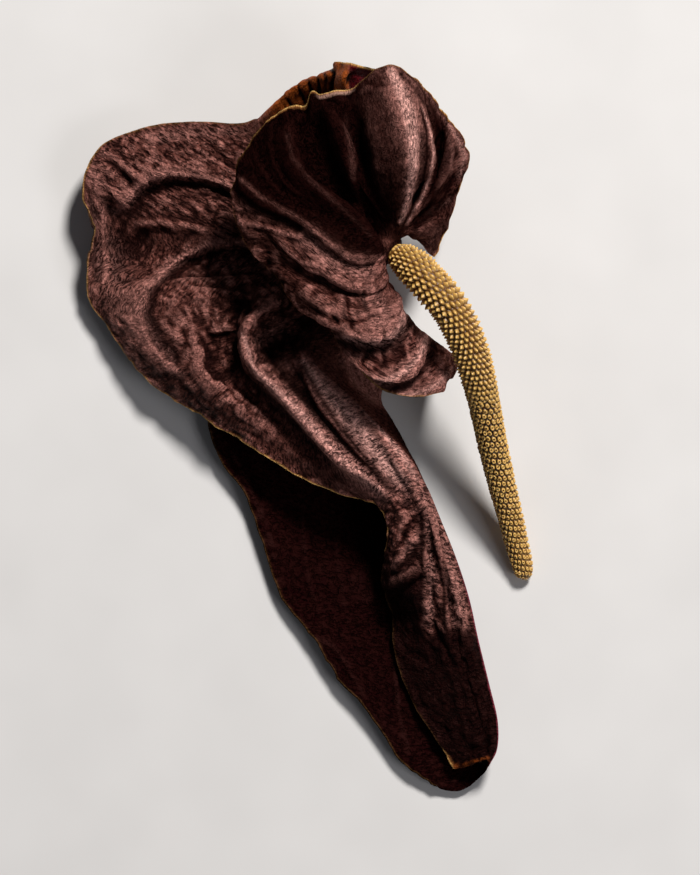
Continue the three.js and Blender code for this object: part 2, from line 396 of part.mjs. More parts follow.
// The direction square to the grid at one of its points, from the cells around it.
function gridNormal(grid, i, j) {
  const sum = new THREE.Vector3();
  for (const r of [i - 1, i]) {
    for (const c of [j - 1, j]) {
      if (r >= 0 && c >= 0 && r + 1 < grid.length && c + 1 < grid[0].length) {
        const first = grid[r + 1][c + 1].clone().sub(grid[r][c]);
        const second = grid[r][c + 1].clone().sub(grid[r + 1][c]);
        sum.add(first.cross(second).normalize());
      }
    }
  }
  return sum.normalize();
}

// A closed solid from a grid: two faces half the thickness to either side, split alike, and a rim.
function thicken(grid, thickness) {
  const rows = grid.length;
  const cells = grid[0].length;
  const positions = [];
  for (const side of [1, -1]) {
    for (let i = 0; i < rows; i += 1) {
      for (let j = 0; j < cells; j += 1) {
        const point = grid[i][j].clone().addScaledVector(gridNormal(grid, i, j), side * thickness / 2);
        positions.push(point.x, point.y, Math.max(point.z, LOW_CLEARANCE));
      }
    }
  }
  const top = (i, j) => i * cells + j;
  const under = (i, j) => rows * cells + top(i, j);
  const index = [];
  for (let i = 0; i + 1 < rows; i += 1) {
    for (let j = 0; j + 1 < cells; j += 1) {
      index.push(top(i, j), top(i + 1, j), top(i + 1, j + 1), top(i, j), top(i + 1, j + 1), top(i, j + 1));
      index.push(under(i, j), under(i + 1, j + 1), under(i + 1, j));
      index.push(under(i, j), under(i, j + 1), under(i + 1, j + 1));
    }
  }
  const rim = (a, b, c, d) => index.push(a, b, c, a, c, d);
  for (let i = 0; i + 1 < rows; i += 1) {
    rim(top(i, 0), under(i, 0), under(i + 1, 0), top(i + 1, 0));
    rim(top(i + 1, cells - 1), under(i + 1, cells - 1), under(i, cells - 1), top(i, cells - 1));
  }
  for (let j = 0; j + 1 < cells; j += 1) {
    rim(top(0, j + 1), under(0, j + 1), under(0, j), top(0, j));
    rim(top(rows - 1, j), under(rows - 1, j), under(rows - 1, j + 1), top(rows - 1, j + 1));
  }
  setDown(positions);
  return closedGeometry(positions, index);
}

// The lowest face's point nearest to each rest point comes down to the surface.
function setDown(positions) {
  const reach = 2;
  for (const [x, y] of REST_POINTS) {
    let nearest = { distance: Infinity, at: 0 };
    for (let k = 0; k < positions.length; k += 3) {
      const distance = Math.hypot(positions[k] - x, positions[k + 1] - y, positions[k + 2]);
      if (distance < nearest.distance) {
        nearest = { distance, at: k };
      }
    }
    if (nearest.distance < reach) {
      positions[nearest.at + 2] = 0;
    }
  }
}

function closedGeometry(positions, index) {
  const geometry = new THREE.BufferGeometry();
  geometry.setAttribute('position', new THREE.Float32BufferAttribute(positions, 3));
  geometry.setIndex(index);
  geometry.computeVertexNormals();
  return geometry;
}

// Two directions square to the tangent, carried along a centre line without twist.
function framesAlong(points) {
  const frames = [];
  let side = new THREE.Vector3(0, 0, 1);
  points.forEach((point, i) => {
    const ahead = points[Math.min(i + 1, points.length - 1)];
    const behind = points[Math.max(i - 1, 0)];
    const tangent = ahead.clone().sub(behind).normalize();
    side = side.clone().addScaledVector(tangent, -tangent.dot(side)).normalize();
    frames.push({ point, side, other: new THREE.Vector3().crossVectors(tangent, side), tangent });
  });
  return frames;
}

// A closed tube: ring points come from ringPoint(ring, step), and each end has one middle point.
function tubeGeometry(rings, round, ringPoint, startPoint, endPoint, flip) {
  const positions = [];
  for (let i = 0; i < rings; i += 1) {
    for (let j = 0; j < round; j += 1) {
      positions.push(...ringPoint(i, j).toArray());
    }
  }
  positions.push(...startPoint.toArray(), ...endPoint.toArray());
  const at = (i, j) => i * round + (j % round);
  const start = rings * round;
  const index = [];
  for (let i = 0; i + 1 < rings; i += 1) {
    for (let j = 0; j < round; j += 1) {
      const [a, b, c, d] = [at(i, j), at(i, j + 1), at(i + 1, j + 1), at(i + 1, j)];
      if (flip(i, j)) {
        index.push(a, b, c, a, c, d);
      } else {
        index.push(a, b, d, b, c, d);
      }
    }
  }
  for (let j = 0; j < round; j += 1) {
    index.push(start, at(0, j + 1), at(0, j));
    index.push(start + 1, at(rings - 1, j), at(rings - 1, j + 1));
  }
  return closedGeometry(positions, index);
}

// The spadix: every second point of its rings stands out as the tip of a floret.
function makeSpadix() {
  const keys = SPADIX_LINE.map((_, i) => i);
  const centres = SPADIX_LINE.map(toVector);
  const radii = SPADIX_LINE.map((p) => new THREE.Vector3(p[3], 0, 0));
  const fine = steps([[0, keys.length - 1, 400]]).map((at) => onCurve(keys, centres, at));
  const runs = [0];
  fine.forEach((point, i) => {
    if (i > 0) {
      runs.push(runs[i - 1] + point.distanceTo(fine[i - 1]));
    }
  });
  const total = runs[runs.length - 1];
  const rings = Math.round(total / FLORET_PITCH);
  const points = [];
  const radiusAt = [];
  for (let i = 0; i <= rings; i += 1) {
    const k = runs.findIndex((run) => run >= total * i / rings - 1e-9);
    const at = (keys.length - 1) * k / 400;
    points.push(onCurve(keys, centres, at));
    radiusAt.push(onCurve(keys, radii, at).x);
  }
  const frames = framesAlong(points);
  const round = 2 * FLORETS_ROUND;
  const ringPoint = (i, j) => {
    const frame = frames[i];
    const endRing = i === 0 || i === rings;
    const tipShare = smooth(0, 4, rings - i);
    const lift = !endRing && (i + j) % 2 === 0 ? FLORET_HEIGHT * (0.55 + 0.45 * tipShare) : 0;
    const radius = radiusAt[i] * (0.5 + 0.5 * tipShare) - 0.25 + lift;
    const angle = 2 * Math.PI * (j + FLORET_TWIST * i) / round;
    return frame.point.clone()
      .addScaledVector(frame.side, radius * Math.cos(angle))
      .addScaledVector(frame.other, radius * Math.sin(angle));
  };
  const end = frames[rings];
  const tip = end.point.clone().addScaledVector(end.tangent, 0.5);
  const valleyDiagonal = (i, j) => (i + j) % 2 !== 0;
  return tubeGeometry(rings + 1, round, ringPoint, frames[0].point, tip, valleyDiagonal);
}

function makeStalk() {
  const keys = STALK_LINE.map((_, i) => i);
  const centres = STALK_LINE.map(toVector);
  const points = steps([[0, keys.length - 1, 9]]).map((at) => onCurve(keys, centres, at));
  const frames = framesAlong(points);
  const ringPoint = (i, j) => {
    const angle = 2 * Math.PI * j / 12;
    return frames[i].point.clone()
      .addScaledVector(frames[i].side, STALK_RADIUS * Math.cos(angle))
      .addScaledVector(frames[i].other, STALK_RADIUS * Math.sin(angle));
  };
  return tubeGeometry(points.length, 12, ringPoint, points[0], points[9], () => true);
}

function makeSpathe() {
  const stations = steps([[0, 4, 4], [4, 17, 21], [17, 32, 30], [32, 40, 11]]);
  const columns = steps([[0, 8, 20], [8, 12, 5], [12, 18, 13]]);
  return thicken(sheetGrid(stations, columns), SPATHE_THICKNESS);
}

function addPiece(group, name, geometry, material) {
  geometry.translate(-PART_CENTRE.x, -PART_CENTRE.y, 0);
  const mesh = new THREE.Mesh(geometry, material);
  mesh.name = name;
  group.add(mesh);
}

const driedSpathe = new THREE.MeshStandardMaterial({ name: 'spathe_maroon', color: 0x4a211f, roughness: 0.6 });
const driedSpadix = new THREE.MeshStandardMaterial({ name: 'spadix_gold', color: 0xb08a3c, roughness: 0.7 });
const driedStalk = new THREE.MeshStandardMaterial({ name: 'stalk_brown', color: 0x5a3b22, roughness: 0.7 });

const group = new THREE.Group();
group.name = 'dried_anthurium';
addPiece(group, 'spathe', makeSpathe(), driedSpathe);
addPiece(group, 'spadix', makeSpadix(), driedSpadix);
addPiece(group, 'peduncle', makeStalk(), driedStalk);

export default group;
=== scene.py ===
"""A dried anthurium flower laid on its back on a pale floor, seen from straight above.

Sizes in the tables are in mm, as on the flower: x to the right, y towards its folded-back head,
z up from the surface that it lies on. Each rib of the spathe runs from its midrib to its margin.
"""

import itertools
import math

import bpy
import numpy as np
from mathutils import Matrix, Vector


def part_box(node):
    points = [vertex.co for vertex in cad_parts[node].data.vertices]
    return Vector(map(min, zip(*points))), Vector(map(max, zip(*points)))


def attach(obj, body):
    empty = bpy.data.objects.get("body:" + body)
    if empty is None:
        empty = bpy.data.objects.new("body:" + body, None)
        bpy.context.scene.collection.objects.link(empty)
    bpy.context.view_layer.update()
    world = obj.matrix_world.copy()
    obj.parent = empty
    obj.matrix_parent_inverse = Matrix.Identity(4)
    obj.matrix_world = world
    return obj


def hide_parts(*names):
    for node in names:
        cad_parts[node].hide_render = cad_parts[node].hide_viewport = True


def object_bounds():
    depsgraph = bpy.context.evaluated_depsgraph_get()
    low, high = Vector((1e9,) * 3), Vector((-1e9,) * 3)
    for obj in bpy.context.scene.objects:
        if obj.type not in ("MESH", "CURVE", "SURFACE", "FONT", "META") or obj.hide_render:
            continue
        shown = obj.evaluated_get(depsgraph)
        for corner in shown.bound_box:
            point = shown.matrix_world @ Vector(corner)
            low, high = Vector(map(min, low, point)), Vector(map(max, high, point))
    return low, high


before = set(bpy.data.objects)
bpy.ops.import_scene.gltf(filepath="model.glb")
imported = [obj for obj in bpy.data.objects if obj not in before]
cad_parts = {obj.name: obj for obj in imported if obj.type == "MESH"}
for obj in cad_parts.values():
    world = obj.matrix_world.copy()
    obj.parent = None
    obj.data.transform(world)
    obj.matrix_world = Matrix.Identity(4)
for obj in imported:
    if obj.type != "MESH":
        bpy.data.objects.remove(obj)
cad_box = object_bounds()

MM = 0.001
PART_CENTRE = np.array([1.457, 0.313, 0.0])

# The node where spathe, spadix and stalk meet: a disc square to its axis, and the way to its top.
NODE_CENTRE = np.array([18.4, 35.6, 25.0])
NODE_AXIS = np.array([0.80, -0.42, 0.42])
NODE_TOP = np.array([0.42, 0.90, 0.10])
NODE_RADIUS = 3.0
LAST_NODE_STATION = 18
# The halves' arcs on the rim, in degrees from its top: where each starts, and how far it goes.
SPREAD_ARC = (30, 110)
FOLDED_ARC = (-12, 122)
FOLDED_ARC_EASE = 1.4
# The folded half's first two stations along the midrib still lie on the rim, at these degrees.
FOLDED_LAST_DEGREES = (132.0, 152.0)
# The columns beside the midrib lie this share of the way to the ribs' first points.
TOWARDS_RIBS = 0.3

# Station along the midrib: the midrib's own point there.
MIDRIB = {
    19: (17.2, 32.9, 23.4), 20: (16.4, 31.2, 20.5), 21: (14.8, 29.2, 17.8), 22: (12.6, 27.2, 15.8),
    23: (10, 25, 14.2), 24: (7.2, 22.8, 13.2), 25: (4.4, 20.2, 13), 26: (2.2, 17.4, 14),
    27: (2.6, 14, 16.5), 28: (6, 10.2, 17.5), 29: (10.6, 5.8, 17.5), 30: (16.4, 0, 17.2),
    31: (21.4, -5.2, 16.4), 32: (25, -11, 15), 33: (28, -18, 13), 34: (31.2, -26, 11.5),
    35: (33.8, -34, 9.5), 36: (35.6, -42, 8), 37: (37.8, -51, 7), 38: (39.6, -59, 6.6),
    39: (39.4, -64.4, 6.6), 40: (38, -67.2, 6.8),
}
# Station: seven points from the midrib to the margin of the half that folds over the front.
RIGHT_RIBS = {
    0: [(21.4, 38.9, 25.3), (22.8, 38.3, 24.1), (23.8, 37.5, 22.3), (24.7, 36.7, 20.4),
        (25.2, 36, 18.6), (25.8, 35.4, 16.8), (26.4, 35, 15)],
    1: [(21.4, 39.3, 26.2), (23, 39.3, 25.9), (24.4, 39.4, 25.2), (25.7, 39.4, 24), (26.8, 39, 21.5),
        (27.6, 38.4, 18.5), (28, 37.4, 15)],
    2: [(21.2, 39.6, 26.7), (23.2, 40.9, 26.7), (25, 43.2, 25.8), (27, 45.4, 23.8), (28.8, 47.2, 21.5),
        (30.6, 48.4, 18), (31.6, 48.2, 14)],
    3: [(21.1, 40.1, 27.3), (23.3, 42.8, 27.6), (25.6, 46, 27.8), (28.4, 49.8, 27.6), (30.8, 53, 26.5),
        (32.6, 54.6, 24.5), (33.6, 54.6, 21)],
    4: [(21, 40.5, 27.8), (22.9, 44, 27.6), (25.2, 47.6, 27.4), (27.6, 51.8, 28.2), (29.6, 55.6, 29.4),
        (30.9, 58, 29), (31.5, 59, 26.5)],
    5: [(20.8, 41, 28.5), (22.3, 44.8, 27.6), (24.2, 49, 25.6), (26.2, 53.2, 25.2), (27.7, 57.4, 26),
        (28.8, 60.6, 27), (29.2, 62.2, 27)],
    6: [(20.5, 41.4, 29.3), (21.9, 44.8, 31), (23.6, 48.2, 33.4), (25.6, 51.8, 35.6),
        (26.7, 55.6, 36.2), (26.8, 60.4, 34.6), (27.2, 65, 31)],
    7: [(20.2, 41.7, 30.2), (21.4, 45, 33.2), (22.9, 48.4, 36.6), (24.6, 52.2, 39), (25.2, 56.4, 39.8),
        (25, 61.8, 38.2), (25.4, 67.4, 33.5)],
    8: [(19.8, 41.9, 31), (20.6, 45.3, 35.6), (21.6, 49, 39.8), (22.6, 53, 42.8), (23, 57.2, 43.8),
        (22.6, 63, 42.8), (22.4, 69.8, 37)],
    9: [(19.2, 42.1, 31.4), (18.9, 45.5, 36.6), (18.7, 49.3, 41.2), (18.6, 53.6, 44.3),
        (18.6, 58.4, 45.8), (18.4, 65.2, 44.3), (18, 72.2, 38)],
    10: [(18.6, 42, 31.4), (17.4, 45.3, 35.6), (16.2, 48.8, 39.4), (15.2, 53.2, 42.2),
        (14.6, 57.8, 43.3), (13.9, 63.6, 42.3), (13.4, 70, 37.5)],
    11: [(18, 41.7, 31.1), (16.2, 44.7, 33.4), (14.4, 48.2, 35.6), (12.9, 52.5, 37.2),
        (11.7, 57.3, 37.8), (10.5, 62.4, 37.6), (10, 67.6, 36)],
    12: [(17.5, 41.2, 31), (15.3, 44, 34.3), (13, 47.1, 37.2), (10.7, 51.2, 39.6), (8.9, 56, 40.2),
        (7.3, 61.6, 39.8), (6.8, 67, 37)],
    13: [(17, 40.5, 30.8), (14.3, 42.8, 32.8), (11.4, 45.4, 34), (8.2, 48.8, 34.8), (5.2, 53.2, 34.8),
        (3, 59.2, 34.2), (2.4, 65.6, 33.5)],
    14: [(16.6, 39.6, 30.6), (13.4, 41.2, 33.1), (9.8, 43.6, 35), (5.4, 46.8, 36), (1, 50.4, 35.5),
        (-1.8, 56.6, 34), (-2.8, 63.8, 30.5)],
    15: [(16.3, 38.6, 30.5), (12.4, 39.6, 33), (7.8, 41.4, 34.8), (2.6, 44.4, 34.8), (-2.6, 48.2, 33.5),
        (-6, 53.8, 31), (-7.6, 60.2, 26.5)],
    16: [(16.1, 37.4, 30.6), (12, 37.5, 33.6), (7, 38.9, 35.5), (0.8, 42, 35), (-5, 45.6, 32.8),
        (-9.4, 49.4, 29.8), (-12.2, 53, 25)],
    17: [(16.1, 35.4, 30.6), (12.4, 33.6, 34), (7.4, 35.6, 36), (0.6, 41, 35.4), (-5.4, 43.8, 33),
        (-10.2, 46.6, 29.8), (-13.2, 49.2, 25)],
    17.5: [(16.2, 35, 30.2), (12.6, 32.7, 33), (7.2, 34.3, 34.8), (0.2, 39.5, 34.2), (-5.6, 42.3, 31.8),
        (-10.3, 44.9, 28.8), (-13.3, 47.8, 24.6)],
    18.3: [(16.5, 33.6, 29.6), (13.6, 30.9, 33.2), (8.6, 31.6, 35.2), (2, 36.2, 34.8), (-3.6, 40, 32.6),
        (-8.4, 42.2, 29.6), (-12.9, 43.6, 25)],
    19: [(17, 32, 28.6), (15.2, 29.4, 32), (11.4, 28.2, 35), (5.6, 30.8, 35.4), (0, 34, 33.6),
        (-5.8, 38, 30.4), (-11.6, 38.6, 25.5)],
    19.5: [(17.2, 31.3, 27.6), (15.8, 28.2, 30.6), (11.6, 26.9, 33.4), (5.4, 29.5, 33.8),
        (-0.4, 32.7, 32.2), (-6, 36.5, 29.4), (-10.6, 37.1, 25.4)],
    20.3: [(17.6, 29.9, 24.4), (18, 26.6, 28.6), (15, 24.6, 33.2), (8.8, 25.8, 34.2), (3, 28.8, 33),
        (-3, 32, 30.4), (-7, 33.2, 26.6)],
    21: [(17.9, 28.8, 22), (20, 26.2, 26.4), (18.4, 24, 32.4), (12.4, 22.8, 36), (6.4, 25, 35.6),
        (0.6, 28.2, 32.6), (-4.2, 30.2, 28)],
    22: [(17.8, 27, 19), (20.8, 23.8, 24), (19.8, 19.6, 30.6), (14.4, 17.2, 35.4), (8.8, 19.2, 35.6),
        (4, 21.4, 33.6), (-0.4, 24.2, 29)],
    23: [(17.4, 25, 16), (21.6, 22.4, 21.4), (20, 19.6, 26.8), (15, 18.4, 29.8), (11, 18.8, 30.6),
        (8, 20, 30.4), (5.4, 21.4, 29.4)],
    24: [(16.6, 22.4, 12.5), (24.2, 19.8, 21), (24.8, 13, 26), (19.8, 9.4, 30.8), (14.8, 10.2, 31.8),
        (11.4, 12.4, 31.2), (8.6, 15.4, 29.6)],
    25: [(15.8, 20.4, 10), (24.6, 19.6, 18.4), (24, 16.8, 22), (20.2, 14.8, 25), (16.4, 13.6, 26.6),
        (13, 13.4, 27.2), (10.6, 13.6, 27.2)],
    25.4: [(15.4, 19.2, 8.8), (25.2, 19, 16.4), (26.6, 16, 19.8), (24.4, 13.6, 22.8),
        (21.2, 11.8, 24.8), (18, 10.2, 26), (15.6, 8.4, 26.8)],
    25.8: [(15, 18, 7.4), (25.8, 18.4, 15.2), (28, 15.6, 19), (27, 12.8, 22), (25, 10.6, 24),
        (22.8, 8.6, 25.4), (21, 6.7, 26)],
    26.3: [(14.2, 16.4, 5.8), (26.2, 17.6, 13), (30, 15.4, 16.4), (30.8, 13, 18.8), (30, 10.8, 21),
        (28.6, 9, 22.4), (26.8, 7.2, 23.6)],
    27: [(13.2, 14, 3.6), (23.4, 16.4, 8.6), (27.6, 16.6, 11.4), (30, 15.6, 13.4), (31.3, 14, 15.2),
        (31.2, 12.2, 17.2), (30, 10.4, 19)],
    28: [(13.2, 10.8, 2.6), (18, 12.8, 2.6), (21.4, 14, 3.6), (23.8, 14.2, 5), (26, 13.6, 6.8),
        (28, 12.6, 8.8), (29.4, 11.4, 10.6)],
    28.5: [(13.6, 8.8, 3.2), (16.6, 12, 1.3), (19.4, 14.2, 1.1), (22, 15.4, 1.4), (24.3, 15.9, 2.4),
        (26.4, 16, 3.6), (28, 16, 4.8)],
    29: [(15, 6.4, 3.6), (16.6, 8.8, 1), (17.5, 11.6, 0.5), (18.4, 14.4, 0.4), (19.5, 16.8, 0.5),
        (21, 18.8, 1), (22.8, 20.4, 2)],
    29.5: [(16.8, 3.8, 4.4), (15.8, 6.4, 1.1), (14, 9.8, 0.4), (12.4, 13, 0.3), (11, 16.2, 0.4),
        (10, 18.8, 0.8), (9, 20.6, 1.8)],
    30: [(19.2, 0, 6), (17.6, 3, 1.2), (13.6, 5.6, 0.4), (8.6, 8, 0.4), (3.4, 10.4, 0.6),
        (-1.6, 12.4, 1.2), (-6, 13.6, 2.4)],
    30.5: [(21, -3, 6.6), (18.8, -0.6, 2), (13, 1.6, 0.8), (5.8, 3.6, 0.8), (-1, 5.6, 1),
        (-8, 7.2, 1.6), (-14, 8, 3)],
    31: [(22.6, -6, 7), (19.6, -4.6, 3), (12.6, -2.6, 1.4), (4, -0.8, 1.2), (-4, 0.8, 1.4), (-12, 2, 2),
        (-18.6, 2.8, 3.6)],
    32: [(25.2, -12, 7), (21.4, -10.8, 3), (13.4, -9, 1.2), (5, -7.6, 1), (-3, -6.4, 1.2),
        (-11, -5.8, 2.2), (-16.4, -5.6, 3.8)],
    33: [(27.8, -18.6, 6.2), (23.4, -18, 2.6), (15.4, -17, 1), (7.6, -16, 0.8), (0, -14.8, 1),
        (-7, -13.6, 2), (-11.2, -13, 3.6)],
    34: [(30.6, -26.4, 5.2), (26, -26.4, 2.4), (18.4, -26, 0.8), (11, -25.2, 0.6), (4, -24.4, 0.8),
        (-3.4, -23.6, 1.8), (-7.6, -23, 3.4)],
    35: [(33, -34.6, 4), (28.4, -35, 2), (20.8, -35.2, 0.8), (14, -35.2, 0.6), (7, -34.8, 0.6),
        (0, -34.4, 1.4), (-3.8, -34, 3)],
    36: [(34.6, -42.6, 3.2), (30, -43, 1.6), (23.2, -43.4, 0.2), (17, -43.4, -0.6), (11, -43, 0.2),
        (5, -42, 1.8), (1.6, -40.8, 3.8)],
    37: [(36.8, -51.6, 2.8), (32.6, -52, 1.2), (26.4, -52.4, -0.4), (21, -52.4, -1), (15.6, -52, -0.2),
        (10.4, -51, 1.8), (7.6, -50, 3.8)],
    38: [(38.6, -59.6, 2.8), (35, -60.4, 1.2), (30, -61, -0.1), (25.6, -61.2, -0.3), (21.2, -60.8, 0.6),
        (17.4, -59.8, 2), (14.8, -58.8, 3.6)],
    39: [(38, -65.6, 3), (35.4, -66.6, 1.6), (32, -67.4, 0.8), (28.6, -67.8, 0.8), (25.4, -68, 1.2),
        (22.8, -68, 2.2), (21, -67.6, 3.2)],
    40: [(37, -69, 3.6), (35.4, -70.6, 2.6), (33.8, -72, 2), (32, -72.8, 1.8), (30.2, -72.8, 1.8),
        (28.6, -72.4, 2), (27, -71.8, 2.6)],
}
